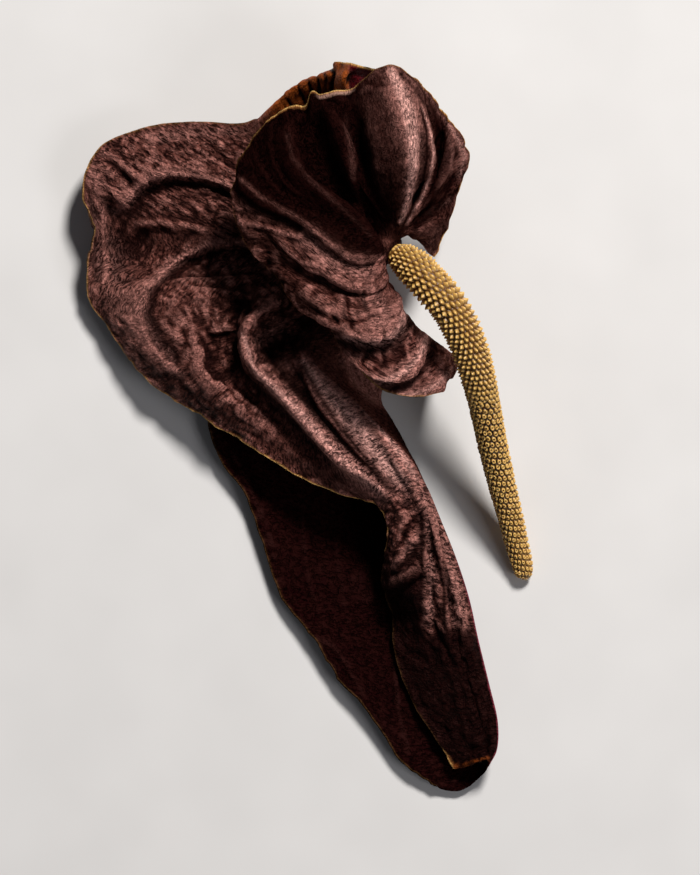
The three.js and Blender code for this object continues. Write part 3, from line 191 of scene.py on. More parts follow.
# Station: nine points from the midrib to the margin of the lobe, the roll and the front flap.
LEFT_RIBS = {
    0: [(19, 43, 17), (19.4, 47, 11.5), (19.2, 52, 7.6), (18.8, 57, 6.4), (18, 61.5, 9),
        (17.2, 65.4, 13.5), (16.8, 68.4, 17.5), (16.4, 70.6, 20.5), (16, 72, 23)],
    1.2: [(18, 42.2, 17), (16.4, 46, 10), (14.4, 51, 4), (12.6, 56, 0.6), (11, 60.6, 4.5),
        (9.8, 64.8, 14.5), (9, 67.6, 24.5), (9.2, 70.2, 28.5), (10.8, 72.8, 28)],
    2.2: [(17.2, 41.8, 17), (14.8, 45.4, 10.5), (12.2, 50, 5.5), (10, 54.6, 2), (8.2, 59.4, 3.8),
        (7, 64, 10.8), (6.4, 67.8, 19), (6.8, 71, 23.5), (8, 73.4, 24)],
    3.6: [(16.4, 41.2, 17), (13.4, 44.8, 11), (10.2, 49.4, 6.2), (7.6, 54, 3), (5.4, 58.8, 3),
        (4, 63.4, 8), (3.2, 67.4, 14.5), (3.6, 70.6, 18.5), (5.6, 71.6, 15.5)],
    5: [(15.6, 40.8, 16.5), (12, 44.2, 11), (8.2, 48.4, 6.5), (5, 52.6, 3.2), (2.2, 57, 2),
        (0.4, 61.4, 6), (-0.6, 65.6, 12), (-0.8, 69, 15.4), (0.8, 69.6, 11.5)],
    6.5: [(15, 40.4, 16), (11, 43.4, 11), (6.6, 47.2, 6), (2.8, 50.8, 2.4), (-0.8, 54.4, 0.9),
        (-3.6, 58.4, 4), (-5.4, 61.8, 9.5), (-6, 64.6, 12), (-4.4, 64.8, 8.5)],
    8: [(14.4, 39.8, 15.5), (10, 42.6, 11), (5, 45.8, 6.5), (0.4, 48.8, 3), (-3.8, 51.8, 1.6),
        (-7.2, 55, 4.2), (-9.6, 58, 7.4), (-11, 60.4, 8.8), (-11.4, 61.8, 9)],
    9.5: [(13.8, 39.2, 15), (9, 41.6, 11), (3.4, 44.2, 7), (-2, 46.8, 5), (-7, 49.4, 4.6),
        (-11.4, 52.6, 6), (-15, 56, 8), (-17.8, 59.4, 9), (-19.4, 62, 9)],
    11: [(13.4, 38.6, 15), (8, 40.6, 11), (1.8, 42.8, 7.5), (-4.4, 44.8, 6), (-10.4, 47, 5.6),
        (-16, 50, 6.4), (-21, 53.6, 8.2), (-25, 58, 9), (-27.6, 61.6, 8.6)],
    12.5: [(13, 37.8, 15), (7.2, 39.2, 11), (0.6, 40.8, 7.8), (-6.4, 42.2, 6.4), (-13.4, 44, 6),
        (-20, 46.8, 6.4), (-26.4, 50.6, 8), (-31.4, 55.4, 9), (-34.6, 59.8, 8.4)],
    13.5: [(12.8, 37.2, 15), (6.8, 38.4, 11), (-0.2, 39.4, 8), (-7.4, 40.6, 6.4), (-15, 42, 5.6),
        (-22.4, 44.2, 5.6), (-29.6, 47.4, 7), (-35.8, 51.8, 8.4), (-40, 57.2, 8)],
    14.5: [(12.6, 36.6, 15), (6.4, 37.4, 11), (-1, 38, 8.2), (-8.4, 38.8, 6.4), (-16.4, 39.8, 5.2),
        (-24.4, 41.4, 4.6), (-32, 43.8, 5.6), (-38.6, 47.4, 7.6), (-43.4, 51.4, 8.4)],
    15.5: [(12.4, 36, 15), (6, 36.2, 11), (-1.4, 36.6, 8.4), (-9, 37, 6.6), (-17.2, 37.4, 4.8),
        (-25.6, 38.4, 2.6), (-33.6, 40, 2), (-40, 42.8, 5.2), (-43.6, 46, 9.2)],
    17: [(12.2, 35.2, 15), (5.6, 35, 11), (-1.8, 35, 8.8), (-9.6, 34.8, 7.2), (-18, 34.8, 5),
        (-26.4, 35, 1.6), (-34, 35.8, -0.3), (-40, 37.4, 3.4), (-41.4, 40.6, 9)],
    18.5: [(11.8, 34.4, 15), (5.2, 33.6, 11.4), (-2.2, 33.2, 9.4), (-10, 32.8, 8.2), (-18.4, 32.4, 6.8),
        (-26.8, 32, 4.6), (-34.6, 32, 3), (-40.6, 32.6, 4.4), (-42.8, 35, 7.4)],
    20: [(11, 33.2, 14.5), (5, 31.8, 11.4), (-1.4, 30.8, 10), (-8, 30, 9.6), (-15, 29.2, 9.6),
        (-22.4, 28.4, 10), (-30, 27.6, 9.6), (-37, 26.8, 7.6), (-42.4, 26.2, 4.6)],
    21.5: [(8, 28.6, 12.6), (3.6, 27.2, 11.6), (-1, 26.4, 12.6), (-6, 25.8, 14.6), (-11.6, 25.4, 11.8),
        (-18.4, 24.4, 12), (-25.6, 22.8, 12), (-32.6, 21.2, 9.4), (-38.4, 20.6, 5)],
    23: [(5.6, 24.4, 11.4), (0.8, 23.4, 10.8), (-4.4, 23, 13), (-9.4, 22.8, 17.2), (-12.6, 20.8, 12.4),
        (-17, 19, 12), (-23, 17.2, 12.4), (-29, 15.4, 9.6), (-34, 14, 5.4)],
    24.5: [(2.6, 20.8, 11), (-2.4, 19.8, 9.6), (-7.4, 19, 12), (-11.2, 18, 18.4), (-13, 15.6, 12),
        (-16.4, 13.8, 11.6), (-20.4, 12.2, 13), (-24.2, 9.8, 10.6), (-27.4, 7.6, 7)],
    25.5: [(1, 17.8, 12), (-3, 16.8, 10.6), (-6.8, 15.8, 13), (-10.2, 13.8, 19.4), (-11, 11.2, 13),
        (-13.2, 9, 12.6), (-16, 7, 13.6), (-18.6, 5, 11.4), (-20.6, 3.4, 8.6)],
    26.5: [(0.6, 15, 16), (-2.2, 14, 16.6), (-4.8, 13, 17.6), (-7.6, 10.8, 20), (-7.6, 8, 13.4),
        (-9, 5.4, 12.8), (-10.8, 3, 13.8), (-12.4, 0.8, 12), (-13.4, -1, 10)],
    27.5: [(2.2, 11.2, 18.4), (0, 10, 18.6), (-2, 9, 18.6), (-4.2, 7.4, 20), (-3.6, 4.4, 13.6),
        (-4.4, 1.8, 12.6), (-5.6, -0.8, 13.4), (-6.4, -3, 12), (-6.8, -5, 10.8)],
    28.5: [(6.4, 7.2, 19.2), (4.2, 6.2, 18.8), (2, 5.4, 18), (-0.8, 3.6, 19.6), (0.2, 0.6, 13.6),
        (0, -2.2, 12.8), (-0.6, -4.8, 13), (-0.6, -7, 12), (-0.4, -9.2, 11.2)],
    29.5: [(11.2, 2.8, 19.2), (8.8, 1.6, 18.8), (6.2, 0.8, 17.6), (2.8, -0.8, 19), (4.4, -3.8, 14),
        (5, -6.4, 13.2), (5.2, -8.6, 13.2), (5.8, -10.4, 12.6), (6.6, -12.2, 12)],
    30.5: [(16.6, -2.6, 18.8), (14.2, -3.8, 18.2), (11.6, -4.8, 16.8), (8.2, -6.8, 18.6),
        (9.4, -9, 14.6), (10, -10.8, 14), (10.6, -12, 13.8), (11.6, -13, 13.2), (12.8, -14, 12.8)],
    31.5: [(21, -8, 17.8), (18.8, -9, 17), (17, -9.9, 16.4), (15.4, -11, 17.2), (14.7, -12, 15.8),
        (14.5, -12.8, 15), (14.5, -13.5, 14.4), (14.7, -14.1, 13.9), (15, -14.7, 13.5)],
    32.5: [(24.4, -14, 16.4), (22.7, -14.8, 15.3), (21.3, -15.4, 14.9), (19.9, -16, 15.6),
        (18.9, -16.7, 14.8), (18.3, -17.3, 14.1), (17.9, -17.9, 13.5), (17.7, -18.5, 13),
        (17.6, -19.1, 12.6)],
    33.5: [(27.2, -21.6, 14.6), (25.6, -22, 13.4), (24.2, -22.2, 13.4), (22.6, -22.4, 14.2),
        (21, -22.8, 13.4), (19.6, -23.2, 13), (18.6, -23.7, 11.8), (17.8, -24.2, 10.5),
        (17.2, -24.7, 9.4)],
    34.5: [(30.2, -29.8, 12.8), (28.6, -30.2, 11.2), (27, -30.2, 11.6), (25.2, -30, 10.8),
        (23.2, -30, 11.8), (21.2, -30.4, 11.6), (19.4, -30.8, 9.6), (17.8, -30.8, 7.6),
        (16.6, -30.6, 5.6)],
    35.5: [(32.6, -38, 10.8), (31, -38.4, 9.4), (29.4, -38.4, 10), (27.6, -38, 9), (25.8, -37.6, 8.4),
        (23.8, -37.4, 8), (21.8, -37, 6), (20, -36.8, 4.2), (18.4, -36.6, 2.6)],
    36.5: [(34.8, -46.6, 8.8), (33.2, -47, 7.6), (31.6, -47.2, 8.2), (30, -47.2, 7), (28.2, -47, 6.2),
        (26.2, -46.8, 5.6), (24, -46.6, 4.4), (21.6, -46.2, 3), (19.4, -46, 1.8)],
    37.5: [(37.2, -55.4, 7.6), (35.8, -56, 6.6), (34.2, -56.2, 7), (32.6, -56.2, 6), (31, -56.2, 5.4),
        (29.2, -56, 4.8), (27, -55.6, 3.8), (24.8, -55.2, 2.6), (22.8, -55, 1.8)],
    38.6: [(38.6, -62.6, 7.2), (37.4, -63.4, 6.2), (36.2, -64, 6.6), (35, -64.2, 5.6), (33.8, -64.2, 5),
        (32.4, -64, 4.4), (30.8, -63.6, 3.6), (29.2, -63.2, 3), (27.8, -62.8, 2.6)],
    40: [(37.8, -66.6, 7.2), (37.4, -66.2, 7.9), (36.8, -66.2, 8.2), (36, -66.6, 7.9), (35, -67.1, 7.1),
        (34, -67.6, 6.1), (33, -68, 5.1), (32, -68.2, 4.3), (31, -68.2, 3.6)],
}

# Folds of the lobe, each with a steep side on the left of its run: height, trough, the widths of its
# gentle side, its steep side and its trough, and the crest's points.
FOLDS = [
    (1.6, 1.3, 5, 0.75, 4.0, [(-9, 47.6), (-12, 48.2), (-15, 49.2), (-19, 50.6), (-22, 51.2), (-27, 51.4),
        (-29, 50.8), (-31, 50), (-32.6, 48.6), (-34, 47), (-35.6, 45), (-37.6, 44)]),
    (1.7, 1.5, 5, 0.75, 4.2, [(-7, 37), (-10, 37.4), (-13, 37.8), (-16, 37.6), (-19, 37), (-21, 36),
        (-23.6, 34.8), (-25.6, 33.6), (-27, 32.4), (-28.4, 30.6), (-30, 29.4), (-31, 28), (-31.6, 26),
        (-32, 23), (-31.6, 21), (-30.6, 18), (-29, 15.6), (-27, 13.6), (-24, 11)]),
    (0.9, 0.9, 3, 0.6, 2.6, [(-11.6, 20.8), (-14, 20), (-17, 19.8), (-20, 20)]),
    (1.2, 1.2, 3, 0.6, 3, [(-22, 20), (-21, 18), (-20, 15), (-19.4, 12), (-17.6, 9.6), (-14, 8)]),
]
# Folds and creases fade in along their run between these distances from their ends.
FOLD_ENDS = (0, 4.0)
CREASE_ENDS = (-1, 1.6)

# Patches of the sheet: the stations and the columns over which a patch fades in and out.
PATCHES = {
    "lobe": ((7, 9, 26, 28), (-2, -1, 7, 8.5)),
    "back": ((-2, -1, 5, 7), (-2, -1, 6, 7)),
    "head": ((-2, -1, 26.5, 27.5), (11, 12, 20, 21)),
    "roll": ((20, 22, 31.5, 33), (-2, -1, 9.5, 10.5)),
    "tail": ((31, 32.5, 42, 43), (-2, -1, 10, 11)),
    "lower": ((29.5, 30.5, 42, 43), (11.5, 12.5, 20, 21)),
}

# Finer creases in each patch, given as the folds are.
CREASES = {
    "head": [
        (0.5, 0.3, 1.4, 0.5, 1.2, [(16.6, 34.6), (15, 33.8), (12.4, 33.4), (10, 34), (8, 35.2), (6, 36.8),
            (3.6, 39), (1.6, 40.4), (-0.4, 41.6), (-3, 42.8), (-6, 44), (-9, 45.6), (-11, 47.6),
            (-12, 50)]),
        (0.45, 0.2, 0.6, 0.5, 0.9, [(1.6, 40.4), (0.6, 39), (-0.4, 38.2), (-3, 39), (-6, 40.2), (-9, 40.8),
            (-12.4, 41.6)]),
        (0.5, 0.35, 1.4, 0.5, 1.2, [(17.6, 31), (16.6, 29), (15, 27.8), (12.6, 27.4), (10, 28), (7.4, 29.2),
            (5, 30.8), (2.4, 32), (0, 33.6), (-2, 35.2), (-4, 37.6), (-6, 39.4)]),
        (0.7, 0.5, 1.6, 0.7, 2, [(10.6, 22.4), (8, 22.8), (5, 24), (2, 25.8), (0, 27.6)]),
        (0.8, 1.3, 2.4, 0.6, 1.7, [(4.4, 65.4), (6.6, 63), (8.4, 60), (9.8, 56.6), (11, 53.4), (10.6, 50),
            (11.4, 46.4), (13.2, 42), (15.6, 37.6)]),
        (0.8, 1.5, 3, 0.8, 2.8, [(-2, 61), (-1.4, 57), (-0.4, 54), (0.6, 51), (2.6, 49), (6, 46.8),
            (9, 44.6), (12, 41.6), (14.4, 38.4), (16, 36)]),
        (0.5, 0.5, 1.6, 1.2, 2, [(16.6, 67.6), (18.4, 64.4), (20, 60.4), (22, 56), (22.6, 52), (22, 48),
            (20.4, 43), (19.8, 39)]),
        (0.7, 1.2, 1.2, 0.5, 1.8, [(21.6, 69), (23.6, 66), (24.8, 62), (25.6, 58), (26.4, 54.4), (26, 51),
            (24.8, 47), (22.8, 43), (20.4, 40)]),
        (0.35, 0.3, 0.7, 0.4, 0.8, [(19.6, 71.2), (22, 69.2), (24, 67), (26, 64.4), (28, 61.6),
            (29.4, 59)]),
        (0.35, 0.3, 0.7, 0.4, 0.8, [(21, 69.6), (23, 67.4), (25, 64.8), (26.6, 62.4), (28, 59.4)]),
        (0.35, 0.2, 0.8, 0.5, 1, [(11, 67.4), (14, 67.6), (16.6, 67), (18.4, 64), (19.2, 60)]),
        (0.5, 0.4, 1.2, 0.6, 1.4, [(30, 63.4), (30.4, 59), (30, 54), (28.4, 50), (26, 46.4), (23, 42)]),
        (0.4, 0.3, 0.8, 0.5, 1, [(30, 46.8), (27, 46), (25, 44.6), (22, 42.6), (20, 41.4)]),
        (0.4, 0.3, 0.8, 0.5, 1, [(28.4, 40.6), (26, 39), (23, 38.4), (20, 38.4)]),
        (0.5, 0.4, 0.8, 0.5, 1, [(33, 50.4), (31.4, 49.2), (29.6, 47.8)]),
        (0.35, 0.3, 0.7, 0.4, 0.8, [(-9.4, 57), (-8, 53), (-6, 49.6), (-3, 46.4)]),
        (0.35, 0.3, 0.7, 0.4, 0.8, [(-5, 61), (-5.6, 57), (-5, 53), (-3, 49.4), (0, 46.8)]),
    ],
    "back": [
        (0.4, 2.0, 1, 0.45, 2.8, [(15.2, 71.8), (13.2, 72.5), (11.4, 72.4), (10, 71.8), (9.2, 70.4),
            (9, 69), (9.6, 67.4)]),
    ],
    "lobe": [
        (0.6, 1.1, 1.4, 0.7, 2.4, [(-39.8, 29.2), (-39.4, 32), (-39.6, 35.6), (-40.4, 38), (-40.6, 40.4),
            (-39.8, 42.4), (-40.2, 44), (-41.4, 46.8), (-42.8, 50), (-42.6, 52.8), (-41, 55.4)]),
        (0.6, 0.5, 2, 0.8, 2, [(-14, 8), (-10, 4.8), (-6, 1.2), (-2, -2.4), (2, -5.6), (6, -8.4)]),
        (0.5, 0.3, 1.0, 0.7, 1.2, [(-39.4, 56.4), (-37.6, 55), (-36, 53.6), (-34, 51.6), (-32, 50.2)]),
        (0.6, 0.5, 1.2, 0.7, 1.4, [(-43.2, 53), (-40.6, 50.2), (-38, 48), (-35.4, 46)]),
        (0.5, 0.4, 1.0, 0.5, 1.2, [(-28, 29.4), (-24, 30), (-19, 30.2), (-14, 30.4), (-8, 31)]),
        (0.3, 0.3, 0.8, 0.5, 1.0, [(-22, 28.4), (-17, 28), (-11, 27)]),
        (0.5, 0.4, 1.2, 0.6, 1.4, [(-34, 42), (-28, 42), (-22, 41), (-15, 39.4)]),
    ],
    "roll": [
        (0.35, 0.2, 0.7, 0.7, 1, [(-3, 26), (-5, 25.4), (-7.6, 24.4), (-9.6, 22.8), (-11, 20.4),
            (-11.6, 18), (-11, 15.6), (-10.2, 13.4), (-9, 11.6), (-7, 9.6), (-5, 7.6), (-3, 5.4),
            (-0.6, 2.6), (2, -0.4), (5, -3.6), (8, -6.6), (10.4, -8), (13, -9.4), (15, -11.4), (17, -13.4),
            (18, -15)]),
        (0.7, 1.1, 3, 0.7, 2.2, [(18, -12), (16, -9), (13, -6), (9.6, -2), (7, 1.4), (4.4, 4.4), (2.6, 7.6),
            (1.4, 10.4), (0.6, 13)]),
        (0.3, 0.5, 1.2, 0.8, 1.2, [(22, -11.4), (20, -8), (18.4, -5), (16.4, -2), (14.4, 1), (12.4, 3.4)]),
        (0.2, 0.2, 1.2, 1.0, 1.4, [(12, -8.4), (8.4, -5), (5.4, -1.8), (2.6, 1.6), (0, 5), (-2.6, 8.4)]),
    ],
    "tail": [
        (0.4, 0.9, 1.6, 0.6, 1.4, [(23, -12), (24.4, -16), (25.2, -21), (25.4, -27), (25.4, -33),
            (26, -38.6), (27.6, -44)]),
        (0.4, 0.5, 1, 0.5, 1, [(26, -14), (27.4, -20), (28.2, -26), (29, -32), (29.4, -38), (30.4, -44)]),
        (1.0, 1.2, 2, 0.6, 2, [(24.8, -28.2), (22.4, -29.6), (20, -30.8), (17.6, -31.4)]),
        (0.7, 0.8, 1.4, 0.6, 1.4, [(24.6, -20), (22.4, -22.6), (20.4, -25.6), (19, -28)]),
        (0.6, 0.6, 1.2, 0.6, 1.4, [(24.4, -15.6), (22, -17), (20.4, -19.4), (19.6, -22.4)]),
        (0.5, 0.4, 1.2, 0.6, 1.4, [(33, -40), (33, -44), (34.6, -50), (36.4, -56), (37, -60)]),
        (0.5, 0.4, 1.2, 0.6, 1.4, [(28, -42), (29.4, -46), (31.6, -52), (33, -58), (34, -62)]),
        (0.5, 0.5, 1, 0.5, 1.2, [(36, -40), (34, -44), (31.6, -46.6)]),
        (0.6, 0.6, 1, 0.5, 1.2, [(38, -49), (36, -52), (33.6, -54)]),
        (0.6, 0.6, 1, 0.5, 1.2, [(38.4, -60.6), (36.4, -62.6), (34, -63.4)]),
    ],
    "lower": [
        (0.2, 0.1, 0.8, 0.6, 1, [(0, -14), (0.6, -20), (1, -26), (2, -32), (4, -38), (7, -44)]),
        (0.15, 0.1, 0.8, 0.6, 1, [(6.4, -14), (7, -22), (8, -30), (9.4, -38), (12, -46)]),
        (0.4, 0.2, 0.8, 0.6, 1, [(18.6, -26), (19, -35), (19, -42), (19.2, -50), (20, -58), (22, -66)]),
        (0.6, 0.8, 1, 0.7, 1.6, [(13, -54), (11, -51), (9, -47.4), (7, -44.6), (4.6, -42.8), (2, -42)]),
        (0.5, 0.6, 1, 0.7, 1.6, [(-5.6, -27), (-6.6, -22), (-8.6, -16), (-11, -10), (-14, -4)]),
    ],
}

# Dents with even sides in each patch: depth, width and points.
DENTS = {
    "head": [
        (0.6, 0.5, [(24, 59), (24.6, 55.6), (24.4, 52), (23.6, 49), (22.2, 45)]),
        (0.6, 0.5, [(9.4, 26.4), (9.6, 23.4), (10.6, 20)]),
        (0.5, 0.45, [(12.6, 28.6), (12.8, 26), (13.6, 23.6)]),
        (0.5, 0.5, [(6, 24.6), (6.8, 22.4), (8, 20.6)]),
        (0.6, 0.5, [(16.8, 20), (16.6, 16), (17.4, 12)]),
        (0.5, 0.5, [(20.4, 20), (20.4, 16.4), (21.2, 13.4)]),
        (0.5, 0.5, [(14.6, 18.6), (13.6, 15.6), (12.4, 13)]),
        (0.4, 0.5, [(25, 16.6), (24.6, 13), (23.6, 9.6)]),
        (0.4, 0.5, [(5.6, 33.4), (7, 31.4), (9.4, 30)]),
        (0.4, 0.5, [(-2, 36.4), (0, 34.4), (2.4, 33.4)]),
    ],
    "back": [
        (0.9, 0.5, [(6.6, 73), (6.3, 70.4), (6, 68), (5.8, 66)]),
        (0.5, 0.4, [(4.8, 72), (5, 69.6), (5, 67)]),
        (0.5, 0.4, [(3.2, 71.4), (3.8, 69), (4, 66.6)]),
        (0.5, 0.4, [(1.4, 70.4), (2.2, 68), (2.6, 66)]),
        (0.5, 0.4, [(-0.8, 69.4), (0.4, 67), (1, 65)]),
        (0.5, 0.4, [(-3, 67), (-1.8, 65), (-1, 63)]),
    ],
    "lobe": [
        (0.9, 0.9, [(-38.6, 54), (-36.6, 52.4), (-34.6, 50.4), (-33.4, 48.4)]),
        (0.7, 0.9, [(-43, 49.4), (-41, 46.8), (-38.6, 44.6), (-36, 43)]),
        (0.5, 1, [(-29, 58), (-27, 55.4), (-25, 53.4)]),
        (0.5, 1, [(-19, 57.6), (-15.6, 54.6), (-12.6, 52.6)]),
    ],
    "lower": [
        (0.9, 1.2, [(-16.4, 3), (-14.4, 0), (-12, -5), (-9.6, -10), (-8, -14)]),
    ],
}

# Painted highlight (above 0) and painted shade lines in each patch, laid in this order: strength and (x, y,
# width) points.
LIGHT_AND_SHADE_LINES = {
    "head": [
        (-0.5, [(12.6, 69, 1.8), (13.4, 62, 2.6), (14.6, 55, 2.6), (16, 48, 1.8), (17.6, 42, 1)]),
        (1.0, [(18.2, 71, 1.3), (19.8, 67.4, 2.2), (21.4, 63, 2.5), (22.4, 57.6, 2.1), (22.4, 52, 1.6),
            (21.6, 46.4, 1.1), (20, 41.4, 0.7)]),
        (-1.0, [(25.6, 66, 1.2), (27.4, 60, 1.8), (27.8, 53, 1.9), (26.2, 46, 1.5), (22.8, 41, 1)]),
        (-0.8, [(31.4, 44.6, 1.2), (28.8, 40.4, 2), (26.8, 37, 1.8)]),
        (-0.8, [(23, 40.6, 1.2), (26, 43.4, 1.4), (29, 45.4, 1)]),
        (0.75, [(28.8, 62, 0.5), (31, 58.6, 0.8), (32.8, 54.6, 0.9), (31.8, 51, 0.6)]),
        (-0.7, [(28.6, 58, 0.7), (30, 54, 0.7), (29.6, 50, 0.8)]),
        (0.4, [(29.6, 59, 0.4), (30.4, 55, 0.4), (30, 51.6, 0.4)]),
        (-0.6, [(32.6, 48.6, 0.5), (30, 47.6, 0.6), (26.4, 44.6, 0.6)]),
        (0.4, [(31.8, 46.8, 0.4), (28.6, 45.6, 0.4), (25, 42.6, 0.4)]),
        (0.3, [(31.2, 46, 0.4), (30, 41.6, 0.45), (28.2, 37, 0.4)]),
        (0.4, [(21.4, 71, 0.5), (25, 67, 0.5), (28, 62.6, 0.5)]),
        (-0.9, [(20, 70.6, 0.6), (23, 67, 0.7), (25.6, 63, 0.7)]),
        (0.85, [(24, 64, 0.4), (25.8, 59, 0.5), (26.5, 55, 0.5), (25.8, 50, 0.5), (24, 45.6, 0.45),
            (21.2, 41.2, 0.4)]),
        (-1.0, [(23.8, 64, 0.3), (25, 59, 0.5), (25.2, 54, 0.6), (24.4, 49.4, 0.6), (22.7, 45, 0.5),
            (20.6, 41, 0.4)]),
        (-1.0, [(29, 47, 0.9), (26, 43, 1.4), (23, 40.4, 1)]),
        (-0.9, [(22.4, 38.8, 0.9), (25.4, 39.4, 1.6), (28.8, 41.6, 1.6)]),
        (0.5, [(20.2, 38.9, 0.35), (23, 37.2, 0.4), (26.8, 35.4, 0.4)]),
        (0.07, [(-2.6, 59, 0.35), (-1.4, 54, 0.35), (2, 49.6, 0.4), (7, 45.2, 0.4), (14, 38.6, 0.4)]),
        (-0.7, [(-11, 38.4, 0.8), (-6.6, 37, 0.8), (-3.2, 33.6, 0.9), (1, 30.8, 0.8), (7, 27.8, 0.7),
            (13, 26.6, 0.6)]),
        (-0.6, [(-6, 33, 1.2), (-3.6, 29.4, 1.6), (0, 26.6, 1.2), (4, 24.4, 0.8)]),
        (0.12, [(9, 62, 0.6), (10.2, 56, 0.6), (10.6, 50, 0.5)]),
        (0.25, [(-12.2, 50.4, 0.5), (-7.6, 46.4, 0.5), (-3, 43.6, 0.5), (0, 42, 0.5), (4, 38.4, 0.5),
            (9, 34.8, 0.6), (16, 34.2, 0.6)]),
        (0.55, [(2, 37.6, 2.2), (7, 33.4, 2.4), (13, 31.6, 2.4)]),
        (0.85, [(9, 18.4, 1.2), (13, 17, 1.5), (17, 17.4, 1.8), (20, 20, 1.8), (21, 24, 1.5),
            (20.6, 28, 1)]),
        (0.55, [(14, 27, 1.8), (17, 22, 3)]),
        (-0.85, [(-0.8, 22.6, 0.8), (4, 19.4, 0.8), (10, 16.8, 0.9), (14.6, 15.4, 1), (19.4, 17, 1),
            (22, 21.4, 1), (21.8, 26, 0.8)]),
        (-0.7, [(9, 27, 0.4), (8.8, 23, 0.45), (10, 20.4, 0.4)]),
        (-0.6, [(12.4, 24, 0.4), (14, 22.6, 0.5), (16, 22.4, 0.4)]),
        (0.85, [(10, 11.6, 1), (13, 9.6, 1.2), (17, 9.6, 1.4), (21, 11.6, 1.5), (24, 15, 1.4),
            (25.4, 19, 1)]),
        (-0.85, [(12.6, 8.8, 0.6), (17.4, 7.9, 0.7), (22.2, 9.2, 0.7), (25.2, 12.4, 0.8), (27, 17.6, 0.9),
            (25.8, 23, 0.8)]),
        (-0.6, [(16.8, 15.4, 0.5), (16.2, 12.4, 0.4)]),
        (-0.5, [(20.6, 16, 0.5), (20.8, 13.6, 0.4)]),
        (0.8, [(15, 7.6, 0.8), (20, 6.6, 1), (25, 7.6, 1.2), (28, 9.6, 1.2), (30.4, 12.4, 0.8)]),
    ],
    "lobe": [
        (-0.7, [(-33, 16, 1.2), (-27, 10, 1.8), (-20, 6, 1.8), (-13, 1, 1.4)]),
        (0.3, [(-41, 52, 1.6), (-40.6, 42, 2), (-39.6, 34, 3.4), (-37, 27, 4), (-32, 20, 3), (-26, 15, 2)]),
        (0.35, [(-30, 58.6, 1.2), (-20, 60, 1), (-10, 60, 0.8)]),
    ],
    "roll": [
        (0.8, [(-11.6, 19.4, 0.8), (-9.4, 12.2, 1.0), (-4.8, 8, 1.5), (-0.5, 4, 1.8), (4.1, -1.3, 1.8),
            (8.6, -6.2, 2), (13.4, -10.3, 2), (16.8, -12.8, 1.7)]),
        (-1.0, [(4, 16, 1.8), (7, 13.4, 2.4), (11.4, 10, 2.6), (15.6, 6, 2), (18, 2, 1.4),
            (19.8, -1.4, 0.8)]),
        (0.95, [(0.6, 13.6, 1), (4.6, 8.4, 2), (9.6, 2.6, 3.4), (13.4, -2, 3.4), (17.4, -7, 3),
            (22, -12, 2.6)]),
        (0.8, [(15.8, 0.4, 1), (20.8, -5.8, 1.6), (24.4, -12, 1.6)]),
        (-0.9, [(-6, 14.6, 1.6), (-1.6, 9.2, 1.4), (2.4, 4.6, 1.1), (6.2, 0.2, 0.9), (10, -3.6, 0.7),
            (14.6, -8.2, 0.5), (17.6, -11.6, 0.5)]),
        (-0.8, [(0.8, 12.6, 0.5), (3.4, 7.8, 0.5), (7, 2, 0.5), (11, -3, 0.5), (15.4, -8.2, 0.5),
            (18.4, -12, 0.5)]),
        (-0.6, [(12.6, 3, 0.5), (15.8, -1.6, 0.6), (18.4, -6.8, 0.6), (22, -12, 0.5)]),
        (0.25, [(-8.6, 17.6, 1.4), (-4, 20.6, 1.8)]),
    ],
    "tail": [
        (0.65, [(24.8, -13, 1), (26, -21.6, 1.2), (26.4, -27.4, 1.3), (26.2, -33, 1.3), (25.6, -38, 1.2)]),
        (0.6, [(26, -13, 1.2), (28.6, -20, 1.4), (30.6, -28, 1.6), (31.6, -34, 1.8), (32, -39, 1.6)]),
        (-1.0, [(26.2, -20.4, 0.3), (28, -27, 0.35), (28.8, -31.6, 0.4), (28.8, -34.6, 0.5),
            (29.2, -40, 0.6)]),
        (-1.0, [(24.6, -17, 0.8), (24.3, -22, 0.8), (24.4, -27, 0.7), (24.2, -33, 0.7), (24.2, -39, 0.8)]),
        (0.4, [(18.8, -27, 0.6), (21.6, -24.2, 0.7), (23.6, -21.6, 0.7)]),
        (0.35, [(17.6, -30.8, 0.6), (21.6, -28.6, 0.7), (23.8, -27.4, 0.6)]),
        (-1.0, [(21.6, -26.4, 0.7), (23.4, -24.6, 1.0)]),
        (-1.0, [(18.6, -33.6, 1.8), (23.6, -31.8, 2)]),
        (-1.0, [(17.2, -22, 0.5), (17.4, -26, 0.7), (17.6, -33, 0.8)]),
    ],
}

# The free line of the spadix: x, y, z and its radius there, from the node to the tip.
SPADIX_LINE = [
    (19, 35.28, 25.32, 2.3), (20.4, 34.3, 26.1, 2.8), (22.6, 32.5, 27.5, 3.45), (26, 29, 29.2, 3.6),
    (29.6, 24.8, 29.4, 3.55), (32.6, 19.4, 27.6, 3.45), (34.9, 13, 24.4, 3.3), (36.7, 6, 20.2, 3.1),
    (38.4, -2, 15.4, 2.9), (40.3, -10, 10.8, 2.7), (42.4, -18, 6.4, 2.45), (44.2, -25, 3.1, 2.2),
    (45.7, -30.4, 1.2, 1.8),
]
STALK_LINE = [(17.3, 36.2, 24.4), (13.8, 38, 22.6), (9.6, 40.2, 20.4), (5, 42.4, 18.2)]
STALK_RADIUS = 1.9
# Rings along a tube, and points round each ring.
SPADIX_MESH = (520, 186)
STALK_MESH = (160, 72)
# Rings of the stalk's cut end, as shares of the way from its edge to its middle.
PITH_RINGS = (0.2, 0.45, 0.7, 0.88)

# The florets' spiral lattices: how many round, how far apart the rows in mm, how many rows a turn climbs.
NODE_LATTICE = (20, 1.2, 4)
TIP_LATTICE = (17, 1.35, 4)
LATTICE_CHANGE = 0.48
FLORET_STRAY = 0.28

